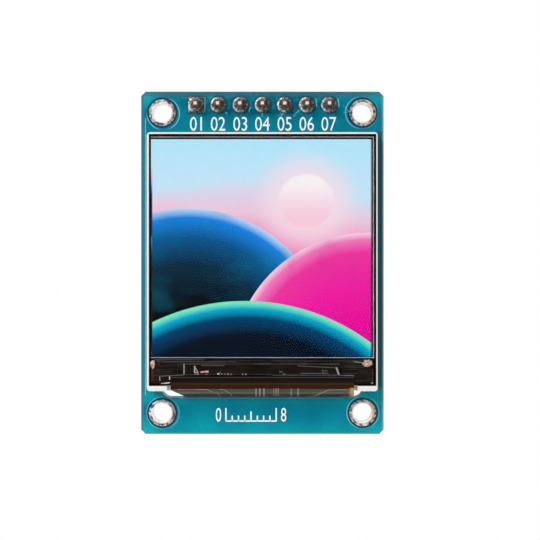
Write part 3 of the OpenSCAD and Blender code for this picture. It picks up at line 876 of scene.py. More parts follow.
@dataclass(frozen=True)
class ChipSilicon(Finish):
    """A bare driver chip: polished black with painted highlights on its edges and right end, pad marks and
    specks.
    """

    # Pad marks and specks, with a painted highlight at the chip's right end, x 8.52
    marks: tuple[Mark, ...] = (
        Mark(-7.66, -12.06, 0.045, 0.36, 0.75), Mark(-7.42, -12.16, 0.04, 0.28, 0.6, lean=-0.55),
        Mark(-7.5, -12.44, 0.16, 0.04, 0.55, climb=0.3), Mark(-7.26, -12.54, 0.03, 0.12, 0.5),
        Mark(-7.45, -12.62, 0.2, 0.02, 0.3), Mark(-4.98, -12.58, 0.1, 0.05, 1.4),
        Mark(-4.6, -12.6, 0.05, 0.04, 0.5),
        Mark(-2.22, -12.62, 0.035, 0.06, 0.6), Mark(-1.87, -12.65, 0.045, 0.045, 0.9),
        Mark(2.1, -12.35, 0.16, 0.03, 0.3), Mark(2.45, -12.6, 0.16, 0.025, 0.3),
        Mark(8.52, -12.26, 0.09, 0.4, 0.5, lean=-0.34), Mark(7.1, -12.24, 0.24, 0.02, 0.2),
        Mark(7.1, -12.5, 0.3, 0.02, 0.2), Mark(5.7, -12.52, 1.4, 0.015, 0.2),
        Mark(6.82, -12.3, 0.02, 0.25, 0.14),
        Mark(-5.6, -11.66, 1.3, 0.02, 0.14), Mark(6.1, -11.78, 2.1, 0.02, 0.16, climb=-0.05),
    )
    warm: tuple[Mark, ...] = (
        Mark(-6.55, -12.34, 0.42, 0.055, 0.95, climb=0.13), Mark(-6.25, -12.33, 0.16, 0.09, 0.9),
        Mark(-4.24, -12.62, 0.05, 0.05, 0.4), Mark(-3.89, -12.6, 0.06, 0.06, 0.6),
        Mark(-3.54, -12.62, 0.05, 0.05, 0.4), Mark(-6.3, -12.62, 0.1, 0.04, 0.3),
        Mark(-4.75, -12.4, 0.04, 0.03, 0.4),
    )

    def mix(self, bench: Bench) -> None:
        """Builds the chip.

        Args:
            bench: Bench of the new material.
        """
        _, _, z = bench.axes()
        chip = Span.of("driver_chip")
        along = bench.speckle(0.5, 2, (1, 1, 0.2)).rise(0.3, 0.7)
        # Painted highlights along the chip's top and foot edges
        rims = z.band(chip.high.z - 0.02, 0.02, 0.02) * 0.22 + z.band(chip.low.z + 0.05, 0.02, 0.03) * 0.08
        marks = (Mark.draw(bench, *self.marks) + rims * (along * 0.6 + 0.3)).clamp()
        colour = bench.blend(bench.speckle(0.5, 2, (1, 1, 3)), hue(10, 10, 7), hue(42, 36, 30))
        colour = bench.blend(marks, colour, hue(206, 200, 196))
        colour = bench.blend(Mark.draw(bench, *self.warm), colour, hue(226, 168, 156))
        bench.coat(colour, rough=marks * 0.3 + 0.1, relief=marks + along * 0.1, depth=0.004, specular=0.12)


@dataclass(frozen=True)
class FlexFilm(Finish):
    """Amber film over copper, its front painted with light and shade: dark reflections on the glass, brown at
    the bend and a grey reflection below it.
    """

    # Millimetres below the bonded edge, with the colour there: painted reflections and shade, with a pale top
    # edge
    shades: Shades = (
        (0.0, hue(30, 32, 28)), (0.06, hue(74, 76, 70)), (0.14, hue(8, 9, 5)), (0.4, hue(16, 12, 6)),
        (0.66, hue(30, 15, 5)), (0.76, hue(74, 44, 22)), (0.86, hue(64, 36, 16)), (0.98, hue(40, 20, 4)),
        (1.1, hue(56, 32, 12)), (1.26, hue(26, 16, 8)), (1.34, hue(52, 42, 30)), (1.46, hue(92, 80, 68)),
        (1.62, hue(78, 70, 60)), (1.8, hue(108, 102, 92)), (1.93, hue(84, 84, 76)), (2.04, hue(26, 44, 38)),
        (2.3, hue(14, 50, 50)),
    )
    depth: float = 2.4

    def mix(self, bench: Bench) -> None:
        """Builds the flex.

        Args:
            bench: Bench of the new material.
        """
        x, y, z = bench.axes()
        flex, chip = Span.of("flex_tail"), Span.of("driver_chip")
        streak = bench.speckle(0.5, 3, (0.35, 1, 5))
        down = (chip.low.z - CHIP_GAP - z) / self.depth
        # Painted light and shade down the front: reflections of dark and bright, then shade where it turns
        # away
        face = bench.ramp(down.clamp(), [(depth / self.depth, shade) for depth, shade in self.shades])
        face = bench.blend(streak.rise(0.35, 0.75) * 0.4, face, hue(24, 18, 14))
        corner = x.rise(flex.high.x - 0.7, flex.high.x - 0.2) * down.rise(1.2 / self.depth, 1.3 / self.depth)
        face = bench.blend(corner * 0.85, face, hue(206, 160, 96))
        tail = bench.blend(bench.speckle(0.7, 2), hue(168, 100, 36), hue(184, 114, 44))
        colour = bench.blend(y.rise(flex.low.y + 1.2, flex.low.y + 2.2), face, tail)
        bench.coat(
            colour, rough=streak * 0.2 + 0.25, relief=streak, depth=0.01, specular=0.2,
            more={"Coat Weight": 0.1, "Coat Roughness": 0.1},
        )


@dataclass(frozen=True)
class FilmTrack(Finish):
    """Copper lines in the flex: pale where the light strikes the bend, bright amber on the tail."""

    def mix(self, bench: Bench) -> None:
        """Builds the lines' finish.

        Args:
            bench: Bench of the new material.
        """
        _, y, _ = bench.axes()
        flex = Span.of("flex_tail")
        worn = bench.speckle(0.9, 3)
        colour = bench.blend(worn.rise(0.35, 0.7), hue(170, 160, 148), hue(128, 116, 104))
        colour = bench.blend(y.rise(flex.low.y + 1.0, flex.low.y + 2.0), colour, hue(210, 144, 70))
        bench.coat(colour, rough=worn * 0.2 + 0.3, relief=worn, depth=0.004, metallic=0.1)


@dataclass(frozen=True)
class Paste(Finish):
    """Dried silver paste: a grainy pale lump with brown patches."""

    light: Colour = hue(232, 202, 180)
    dark: Colour = hue(104, 58, 38)

    def mix(self, bench: Bench) -> None:
        """Builds the paste.

        Args:
            bench: Bench of the new material.
        """
        grain = bench.speckle(6, 4)
        lump = bench.speckle(2.2, 2).rise(0.4, 0.62)
        colour = bench.blend((lump * 0.6 + grain * 0.3).clamp(), self.light, self.dark)
        bench.coat(colour, rough=grain * 0.3 + 0.35, relief=grain, depth=0.04, metallic=0.35)


@dataclass(frozen=True)
class Ceramic(Finish):
    """Fired ceramic, or a glazed resistor body, with pores."""

    body: Colour = hue(176, 138, 98)
    pore: Colour = hue(128, 94, 62)
    rough: float = 0.4

    def mix(self, bench: Bench) -> None:
        """Builds the ceramic.

        Args:
            bench: Bench of the new material.
        """
        pores = bench.cells(9).rise(0.22, 0.1) * 0.4
        cloud = bench.speckle(2.5, 3)
        colour = bench.blend((pores + cloud * 0.4).clamp(), self.body, self.pore)
        bench.coat(colour, rough=cloud * 0.2 + self.rough, relief=cloud - pores, depth=0.012, specular=0.4)


@dataclass(frozen=True)
class Ink(Finish):
    """Printed legend ink, thinner at places."""

    colour: Colour = hue(250, 255, 255)

    def mix(self, bench: Bench) -> None:
        """Builds the ink.

        Args:
            bench: Bench of the new material.
        """
        thin = bench.speckle(4, 3)
        colour = bench.blend(thin.rise(0.6, 0.9) * 0.4, self.colour, hue(176, 214, 226))
        bench.coat(colour, rough=thin * 0.2 + 0.45, relief=thin, depth=0.004, specular=0.25)


class Field(Enum):
    """The fields of the lit picture, from back to front."""

    SKY = "picture_sky"
    SUN = "picture_sun"
    FAR = "picture_far_hill"
    MIDDLE = "picture_mid_hill"
    NEAR = "picture_near_hill"


@dataclass(frozen=True)
class Veil:
    """A cloudy tint: the size and scale of its noise, where it is full, its share and its colour."""

    per_mm: float
    scale: tuple[float, float, float]
    full: float
    share: float
    tint: Colour


@dataclass(frozen=True)
class Disc:
    """A round form in shares of the picture's width, with its colours from the middle to the rim."""

    across: float
    up: float
    radius: float
    shades: Shades = ()
    veil: Veil | None = None


DISCS: Mapping[Field, Disc] = {
    Field.SUN: Disc(0.2, 0.21, 0.13),
    # A deep blue hill with a pale rim that turns black below
    Field.FAR: Disc(-0.34, -0.48, 0.66, shades=(
        (0.4, hue(2, 8, 16)), (0.62, hue(6, 44, 66)), (0.8, hue(4, 84, 140)), (0.94, hue(20, 134, 232)),
        (1.0, hue(186, 224, 255)),
    ), veil=Veil(0.16, (1, 1, 2), 0.75, 0.35, hue(0, 120, 150))),
    # A magenta hill with a rose rim
    Field.MIDDLE: Disc(0.48, -0.55, 0.62, shades=(
        (0.3, hue(238, 0, 156)), (0.62, hue(246, 20, 164)), (0.86, hue(244, 50, 160)),
        (0.95, hue(248, 120, 190)), (1.0, hue(255, 214, 236)),
    ), veil=Veil(0.2, (2, 1, 1), 0.8, 0.3, hue(206, 40, 150))),
    # A near-black hill with a green and cyan rim
    Field.NEAR: Disc(-0.08, -1.2, 0.96, shades=(
        (0.5, hue(0, 2, 8)), (0.84, hue(2, 12, 30)), (0.92, hue(0, 64, 110)), (0.965, hue(0, 176, 214)),
        (0.99, hue(120, 236, 190)),
    )),
}


@dataclass(frozen=True)
class Scenery(Finish):
    """One field of the lit picture: a sky, a sun and three round hills."""

    part: Field
    middle: float = 1.65
    width: float = 24.94
    glow: Colour = hue(255, 226, 238)
    sky: Shades = (
        (0.36, hue(240, 30, 150)), (0.52, hue(246, 116, 182)), (0.68, hue(244, 202, 226)),
        (0.8, hue(204, 232, 253)), (1.0, hue(184, 234, 255)),
    )

    def mix(self, bench: Bench) -> None:
        """Builds the field as a dark sheet that shines in the picture's colours.

        Args:
            bench: Bench of the new material.
        """
        x, _, z = bench.axes()
        paint = {Field.SKY: self._sky, Field.SUN: self._sun}.get(self.part, self._hill)
        light = paint(bench, x / self.width + 0.5, (z - self.middle) / self.width + 0.5)
        edge = x.rise(self.width / 2 - 0.26, self.width / 2 - 0.04) * 0.9
        bench.surface({
            "Base Color": grey(4),
            "Roughness": 0.6,
            "Specular IOR Level": 0.0,
            "Emission Color": bench.blend(edge, light, hue(30, 14, 30)),
            "Emission Strength": 1.0,
        })

    def _away(self, bench: Bench, part: Field) -> Wire:
        """Distance from the middle of a disc, where one is its rim.

        Args:
            bench: Bench of the material.
            part: The disc.

        Returns:
            The distance in radii.
        """
        x, _, z = bench.axes()
        disc = DISCS[part]
        across, up = x - disc.across * self.width, z - (self.middle + disc.up * self.width)
        return across.reach(up) / (disc.radius * self.width)

    def _sky(self, bench: Bench, across: Wire, up: Wire) -> Wire:
        """Pale blue above, rose towards the hills, with a glow round the sun.

        Args:
            bench: Bench of the material.
            across: Place across, in shares of the picture.
            up: Place up, in shares of the picture.

        Returns:
            The sky's colour.
        """
        veil = bench.speckle(0.09, 3, (0.6, 1, 1.8))
        colour = bench.ramp((up + veil * 0.22 - 0.11 + across * 0.06).clamp(), self.sky)
        return bench.blend(self._away(bench, Field.SUN).rise(2.1, 0.9) * 0.75, colour, self.glow)

    def _sun(self, bench: Bench, _: Wire, up: Wire) -> Wire:
        """A pale disc, warmer at its foot."""
        colour = bench.blend(up.rise(0.62, 0.84), hue(255, 208, 226), hue(255, 250, 252))
        return bench.blend(self._away(bench, Field.SUN).rise(0.86, 1.0) * 0.6, colour, self.glow)

    def _hill(self, bench: Bench, *_: Wire) -> Wire:
        """A hill in its disc's colours, under its veil.

        Args:
            bench: Bench of the material.

        Returns:
            The hill's colour.
        """
        disc = DISCS[self.part]
        colour = bench.ramp(self._away(bench, self.part).clamp(), disc.shades)
        if disc.veil is None:
            return colour
        cloud = bench.speckle(disc.veil.per_mm, 3, disc.veil.scale).rise(0.45, disc.veil.full)
        return bench.blend(cloud * disc.veil.share, colour, disc.veil.tint)


MASK = Lacquer("mask_lacquer")
TRACK = Lacquer("mask_over_copper", raised=0.16)
PAD = Metal("tinned_pad", hue(220, 216, 208), hue(150, 140, 120), depth=0.008)
SOLDER = SolderCoat("header_solder")
JOINT = Metal("rear_solder", hue(206, 206, 206), hue(142, 136, 130), depth=0.012, grain=4.0)
LEAD = Metal("tinned_lead", hue(212, 212, 212), hue(150, 146, 140), depth=0.006)
PRISM = FilmSheet("prism_film", hue(214, 222, 232), rib=0.05, rough=0.2)
PACKAGE = Moulding("package_black", grey(20), grey(32), rough=(0.5, 0.2), grain=12)
PASTE = Paste("silver_paste")
FLEX = FlexFilm("flex_film")
FLEX_TRACK = FilmTrack("flex_track")
INK = Ink("legend_ink")


# ---------------------------------------------------------------------------- making pieces


def link(name: str, data: Any) -> bpy.types.Object:
    """Puts data into the scene as an object.

    Args:
        name: Name of the object.
        data: Its mesh, curve, lamp or camera.

    Returns:
        The object.
    """
    made = bpy.data.objects.new(name, data)
    bpy.context.scene.collection.objects.link(made)
    return made


def settle(
    name: str, mesh: bpy.types.Mesh, finish: Finish, crease: float = 40.0
) -> bpy.types.Object:
    """Makes a millimetre mesh one piece of the module.

    Args:
        name: Name of the piece.
        mesh: Its mesh, in millimetres and in place.
        finish: Its finish.
        crease: Angle in degrees above which an edge stays sharp.

    Returns:
        The piece.
    """
    mesh.transform(Matrix.Scale(MM, 4))
    mesh.materials.clear()
    mesh.materials.append(finish.material())
    mesh.shade_smooth()
    mesh.set_sharp_from_angle(angle=math.radians(crease))
    piece = link(name, mesh)
    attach(piece, ROOT)
    LOG.info("%s: %d faces", name, len(mesh.polygons))
    return piece


def bake(form: bmesh.types.BMesh, name: str) -> bpy.types.Mesh:
    """Turns a form into a mesh.

    Args:
        form: The form, which is freed.
        name: Name of the mesh.

    Returns:
        The mesh.
    """
    mesh = bpy.data.meshes.new(name)
    form.to_mesh(mesh)
    form.free()
    return mesh


def close_up(form: bmesh.types.BMesh, name: str) -> bpy.types.Mesh:
    """Merges a form's doubles, turns its faces outwards and makes it a mesh.

    Args:
        form: The form, which is freed.
        name: Name of the mesh.

    Returns:
        The mesh.
    """
    bmesh.ops.remove_doubles(form, verts=form.verts, dist=MERGE)
    bmesh.ops.recalc_face_normals(form, faces=form.faces)
    return bake(form, name)


def pour(form: bmesh.types.BMesh, mesh: bpy.types.Mesh) -> None:
    """Adds a mesh to a form and removes it."""
    form.from_mesh(mesh)
    bpy.data.meshes.remove(mesh)


def as_mesh(curve: bpy.types.Curve) -> bpy.types.Mesh:
    """Turns a curve or text into a mesh.

    Args:
        curve: The curve data, which is removed.

    Returns:
        Its mesh.
    """
    holder = link("holder", curve)
    mesh = bpy.data.meshes.new_from_object(holder.evaluated_get(bpy.context.evaluated_depsgraph_get()))
    bpy.data.objects.remove(holder)
    bpy.data.curves.remove(curve)
    return mesh


def tube(points: Sequence[Sequence[float]], radius: float, resolution: int) -> bpy.types.Mesh:
    """Makes a closed tube along a polyline.

    Args:
        points: Corners of the polyline.
        radius: Radius of the tube.
        resolution: Steps in its round.

    Returns:
        Its mesh.
    """
    curve = bpy.data.curves.new("tube", "CURVE")
    curve.dimensions = "3D"
    curve.bevel_depth, curve.bevel_resolution, curve.use_fill_caps = radius, resolution, True
    spline = curve.splines.new("POLY")
    spline.points.add(len(points) - 1)
    for corner, point in zip(spline.points, points):
        corner.co = (*point, 1.0)
    return as_mesh(curve)


@dataclass
class Legend:
    """Plain numerals and strokes printed on one side of the board."""

    side: Facing
    thick: float = 0.02
    form: bmesh.types.BMesh = field(default_factory=bmesh.new)

    def numerals(
        self, words: str, spot: Spot, height: float, squeeze: float = 0.62, weight: float = 0.0
    ) -> None:
        """Prints a number.

        Args:
            words: Its digits.
            spot: Middle of the number.
            height: Height of a digit.
            squeeze: Width of the digits against their usual width.
            weight: Added half-width of the strokes, against the digit's size.
        """
        text = bpy.data.curves.new("numeral", "FONT")
        text.body = words
        text.align_x, text.align_y = "CENTER", "CENTER"
        text.resolution_u, text.offset, text.extrude = 3, weight, 0.5
        mesh = as_mesh(text)
        low, high = (Vector([end(v.co[i] for v in mesh.vertices) for i in range(3)]) for end in (min, max))
        grow = height / (high.y - low.y)
        mesh.transform(Matrix.Translation(-(low + high) / 2))
        mesh.transform(Matrix.Diagonal((grow * squeeze, grow, self.thick * 2, 1)))
        self._stand(mesh, spot)

    def stroke(self, start: Spot, end: Spot, width: float = 0.16) -> None:
        """Prints a straight stroke.

        Args:
            start: One end.
            end: The other end.
            width: Width of the stroke.
        """
        bar = bmesh.new()
        a, b = Vector(start), Vector(end)
        run = b - a
        turn = Matrix.Rotation(math.atan2(run.y, run.x), 4, "Z")
        size = Matrix.Diagonal((run.length + width, width, self.thick * 2, 1))
        bmesh.ops.create_cube(bar, size=1.0, matrix=turn @ size)
        upright = [e for e in bar.edges if abs((e.verts[0].co - e.verts[1].co).normalized().z) > 0.9]
        bmesh.ops.bevel(
            bar, geom=upright, offset=width * 0.45, segments=3, affect="EDGES", profile=0.5, material=-1,
        )
        self._stand(bake(bar, "stroke"), tuple((a + b) / 2))

    def _stand(self, mesh: bpy.types.Mesh, spot: Spot) -> None:
        """Stands a flat drawing on the board.

        Args:
            mesh: The drawing round its own middle, which is removed.
            spot: Its middle on the board.
        """
        mesh.transform(self.side.turn)
        mesh.transform(Matrix.Translation((spot[0], self.side.level, spot[1])))
        pour(self.form, mesh)

    def settle(self, name: str) -> bpy.types.Object:
        """Makes the print one piece."""
        return settle(name, close_up(self.form, name), INK)


@dataclass
class Tracks:
    """Flattened tubes: copper tracks under the mask on one side of the board."""

    side: Facing
    height: float = 0.02

    def settle(self, name: str, runs: Iterable[tuple[float, Sequence[Spot]]]) -> bpy.types.Object:
        """Makes the tracks one piece.

        Args:
            name: Name of the piece.
            runs: Width and path of each track.

        Returns:
            The piece.
        """
        form = bmesh.new()
        for width, path in runs:
            mesh = tube([(x, 0.0, z) for x, z in path], width / 2, 2)
            mesh.transform(Matrix.Diagonal((1, 2 * self.height / width, 1, 1)))
            mesh.transform(Matrix.Translation((0, self.side.level, 0)))
            pour(form, mesh)
        return settle(name, close_up(form, name), TRACK)


@dataclass
class SolderJoint:
    """A hollow cone of solder that wets a square pin."""

    pin: Span
    seat: float
    square: bool
    seed: int
    steps: int = 40
    # Points nearer the pin's middle than this keep their place, and the foot below this height stays flat
    bore: float = 0.3
    collar: float = 0.1
    swell: float = 0.07
    slump: float = 0.14
    # Radius on the pin's flats, height, and squareness of each ring from the pad up
    outline: Sequence[tuple[float, float, float]] = (
        (0.90, 0.0, 0.0), (0.90, 0.05, 0.0), (0.85, 0.12, 0.0), (0.76, 0.17, 0.05), (0.64, 0.25, 0.15),
        (0.53, 0.37, 0.35), (0.45, 0.52, 0.6), (0.39, 0.7, 0.85), (0.355, 0.86, 1.0), (0.335, 0.95, 1.0),
        (0.25, 0.96, 1.0), (0.25, 0.0, 1.0),
    )

    def add(self, form: bmesh.types.BMesh) -> None:
        """Adds the joint to a form.

        Args:
            form: The form that gathers all the joints.
        """
        cone = bmesh.new()
        ring = [cone.verts.new((radius, -height, 0)) for radius, height, _ in self.outline]
        rim = [cone.edges.new((a, b)) for a, b in zip(ring, ring[1:] + ring[:1])]
        bmesh.ops.spin(
            cone, geom=ring + rim, cent=(0, 0, 0), axis=(0, 1, 0), angle=TURN,
            steps=self.steps, use_merge=True,
        )
        bmesh.ops.remove_doubles(cone, verts=cone.verts, dist=MERGE)
        shapes = {round(height, 3): share for _, height, share in self.outline[:10]}
        for vert in cone.verts:
            self._mould(vert.co, shapes.get(round(-vert.co.y, 3), 1.0))
        bmesh.ops.recalc_face_normals(cone, faces=cone.faces)
        mesh = bake(cone, "joint")
        mesh.transform(Matrix.Translation((self.pin.middle.x, self.seat, self.pin.middle.z)))
        pour(form, mesh)

    def _mould(self, co: Vector, share: float) -> None:
        """Moves one point from the plain cone to the wetted shape.

        Args:
            co: The point, which is changed.
            share: Squareness at its height.
        """
        angle = math.atan2(co.z, co.x)
        reach = math.hypot(co.x, co.z)
        if reach < self.bore:
            return
        height = -co.y
        if self.square:
            share = max(share, 0.82 if height < 0.2 else 0.5)
        across, up = math.cos(angle), math.sin(angle)
        corner = 1 / max(abs(across), abs(up))
        swell = self.swell * noise.noise(Vector((across, up, self.seed * 3.7 + height * 1.5)))
        slump = self.slump * noise.noise(Vector((across, up, self.seed * 9.1)))
        grow = (1 + share * (corner - 1)) * (1 + swell * (1 if height > self.collar else 0.3))
        co.x *= grow
        co.z *= grow
        if height > self.collar:
            co.y *= 1 + slump


@dataclass
class Header:
    """The pin row: its solder and the numbers of its pins."""

    numeral_drop: float = 2.19
    numeral_height: float = 1.6
    numeral_squeeze: float = 0.78

    def build(self) -> None:
        """Builds the joints and the numerals."""
        spans = [Span.of(f"pin_{i + 1}") for i in range(PIN_COUNT)]
        form = bmesh.new()
        for i, span in enumerate(spans):
            SolderJoint(span, Facing.FRONT.level, i == 0, i).add(form)
        joints = settle("solder_joints", close_up(form, "solder_joints"), SOLDER, 60)
        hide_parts("header_solder")
        legend = Legend(Facing.FRONT)
        for i, span in enumerate(spans):
            spot = (span.middle.x, span.middle.z - self.numeral_drop)
            legend.numerals(f"{i + 1:02d}", spot, self.numeral_height, self.numeral_squeeze)
        legend.settle("pin_numerals")


@dataclass
class Caption:
    """A small measuring scale with plain numbers, under the screen."""

    middle: Spot = (-1.3, -17.42)
    divisions: int = 8
    step: float = 0.72
    height: float = 1.6
    inset: float = 0.08
    numeral_gap: float = 0.85
    # Share of the height that the end strokes, the middle one and the others have
    tall: float = 1.0
    half: float = 0.75
    short: float = 0.45

    def build(self) -> None:
        """Builds the scale."""
        legend = Legend(Facing.FRONT)
        x0 = self.middle[0] - self.divisions * self.step / 2
        x1 = x0 + self.divisions * self.step
        foot = self.middle[1] - self.height / 2
        shares = {0: self.tall, self.divisions: self.tall, self.divisions // 2: self.half}
        for i in range(self.divisions + 1):
            x, top = x0 + i * self.step, foot + self.height * shares.get(i, self.short)
            legend.stroke((x, foot + self.inset), (x, top - self.inset))
        legend.stroke((x0, foot + self.inset), (x1, foot + self.inset))
        for words, x in (("0", x0 - self.numeral_gap), (str(self.divisions), x1 + self.numeral_gap)):
            legend.numerals(words, (x, self.middle[1]), self.height)
        legend.settle("caption_scale")


@dataclass
class FrontCopper:
    """Short tracks that show through the mask round the pin row."""

    width: float = 0.22
    first: float = -7.62
    # Number of the pin that each track lies at, and its corners from that pin
    paths: Sequence[tuple[int, Sequence[Spot]]] = (
        (1, ((0.55, -0.5), (1.05, -1.0), (1.05, -1.35))), (2, ((0.6, -0.45), (1.2, -1.05))),
        (3, ((0, -0.7), (0, -1.4))), (4, ((-0.1, -0.7), (-0.7, -1.35))), (5, ((-0.6, -0.6), (-1.4, -1.4))),
        (5, ((0.95, 0.8), (1.12, 0.3), (1.02, -0.5))), (6, ((0.7, 0.65), (1.15, 0.1), (0.9, -0.75))),
        (6, ((1.6, -0.05), (2.3, -0.8))), (0, ((-1.6, 0.75), (-1.05, 0.75))),
    )

    def build(self) -> None:
        """Builds the tracks."""
        at = [self.first + i * PIN_PITCH for i in range(PIN_COUNT)]
        runs = [(self.width, [(at[i] + x, PIN_ROW + z) for x, z in path]) for i, path in self.paths]
        Tracks(Facing.FRONT).settle("front_tracks", runs)


@dataclass
class RearCopper:
    """Tracks and vias behind the board, from the pin row to the flex's tail."""

    width: float = 0.26
    supply_width: float = 0.5
    part_width: float = 0.4
    landing: float = -2.9
    vias: Sequence[Spot] = (
        (-10.9, 4.5), (-10.9, 0.5), (10.9, 4.5), (10.9, 0.5), (-6.0, 1.2), (6.4, 3.2), (-8.0, -6.0),
        (8.0, -6.0), (-9.0, -11.5), (9.0, -11.5), (-4.6, 7.2), (4.7, 7.4), (4.7, 12.2), (0.0, 5.9),
    )
    # Radius and height of a via's ring, from the dimple out and back under it
    via: Sequence[Spot] = (
        (0.0, 0.004), (0.1, 0.006), (0.16, 0.022), (0.3, 0.022), (0.36, 0.0), (0.3, -0.005), (0.0, -0.005),
    )

    def build(self) -> None:
        """Builds the tracks and the vias."""
        top, foot = PIN_ROW, self.landing
        runs = [
            (self.supply_width, [(-7.62, top), (-9.8, top - 2.2), (-9.8, 2.8), (-4.4, -2.6), (-4.4, foot)]),
            (self.width, [(-5.08, top), (-5.08, 4.0), (-3.6, 2.5), (-3.6, foot)]),
            (self.width, [(-2.54, top), (-2.54, 15.5), (-3.7, 14.3), (-3.7, 5.9), (-2.0, 4.2), (-2.0, foot)]),
            (self.width, [(0, top), (0, 16.2), (-2.0, 14.2), (-2.0, 6.2), (-1.2, 5.4), (-1.2, foot)]),
            (self.width, [(2.54, top), (2.54, 15.6), (2.0, 15.0), (2.0, 5.4), (1.2, 4.6), (1.2, foot)]),
            (self.width, [(5.08, top), (5.08, 15.8), (3.5, 14.2), (3.5, 5.2), (2.0, 3.7), (2.0, foot)]),
            (self.supply_width, [(7.62, top), (9.8, top - 2.2), (9.8, 4.0), (4.4, -1.4), (4.4, foot)]),
            (self.part_width, [(-7.65, 13.51), (-8.6, 13.51), (-8.95, 12.6), (-8.95, 9.0), (-7.9, 8.4)]),
            (self.part_width, [(7.65, 13.51), (8.6, 13.51), (8.9, 12.8), (8.9, 8.9), (7.95, 8.5)]),
            (self.width, [(0.65, 11.01), (1.2, 11.01), (1.2, 8.51), (0.65, 8.51)]),
            (self.width, [(-0.65, 13.51), (-1.2, 13.51), (-1.2, 11.01), (-0.65, 11.01)]),
        ]
        Tracks(Facing.REAR).settle("rear_tracks", runs)
        form = bmesh.new()
        for x, z in self.vias:
            self._via(form, x, z)
        settle("rear_vias", close_up(form, "rear_vias"), TRACK, 60)

    def _via(self, form: bmesh.types.BMesh, x: float, z: float) -> None:
        """Adds a covered via: a low ring with a dimple.

        Args:
            form: The form that gathers the vias.
            x: Place across.
            z: Place up.
        """
        level = Facing.REAR.level
        ring = [form.verts.new((x + radius, level + height, z)) for radius, height in self.via]
        rim = [form.edges.new((a, b)) for a, b in zip(ring, ring[1:])]
        bmesh.ops.spin(
            form, geom=ring + rim, cent=(x, level, z), axis=(0, 1, 0), angle=TURN, steps=20, use_merge=True,
        )


@dataclass
class RearLegend:
    """Outlines and plain numbers printed behind the board."""

    small: float = 0.62
    large: float = 0.95
    squeeze: float = 0.8
    weight: float = 0.01
    # Space between a chip part and its outline, across and up
    room: Spot = (0.42, 0.34)

    def build(self) -> None:
        """Builds the print."""
        legend = Legend(Facing.REAR)
        for i in range(PIN_COUNT):
            middle = Span.of(f"pin_{i + 1}").middle
            legend.numerals(str(i + 1), (middle.x, middle.z - 2.15), self.large, self.squeeze, self.weight)
        chips = [f"capacitor_{i}" for i in (1, 2, 3)] + [f"resistor_{i}" for i in (1, 2, 3, 4)]
        for number, node in enumerate(chips, 10):
            span = Span.of(node)
            self._frame(legend, span, *self.room)
            spot = (span.middle.x, span.high.z + 0.78)
            legend.numerals(str(number), spot, self.small, self.squeeze, self.weight)
        for number, node in enumerate(("regulator", "transistor"), 20):
            middle = Span.of(node).middle
            spot = (middle.x + (2.35 if middle.x > 0 else -2.35), middle.z)
            legend.numerals(str(number), spot, self.small, self.squeeze, self.weight)
        legend.settle("rear_legend")

    @staticmethod
    def _frame(legend: Legend, span: Span, across: float, up: float) -> None:
        """Prints a part's outline as two brackets.

        Args:
            legend: The legend it goes on.
            span: The part's box.
            across: Room beside the part.
            up: Room above and below it.
        """
        low, high = span.low, span.high
        left, right = low.x - across - 0.5, high.x + across + 0.5
        foot, top = low.z - up, high.z + up
        for side, inner in ((left, left + 0.7), (right, right - 0.7)):
            legend.stroke((side, foot), (side, top), 0.12)
            legend.stroke((side, foot), (inner, foot), 0.12)
            legend.stroke((side, top), (inner, top), 0.12)


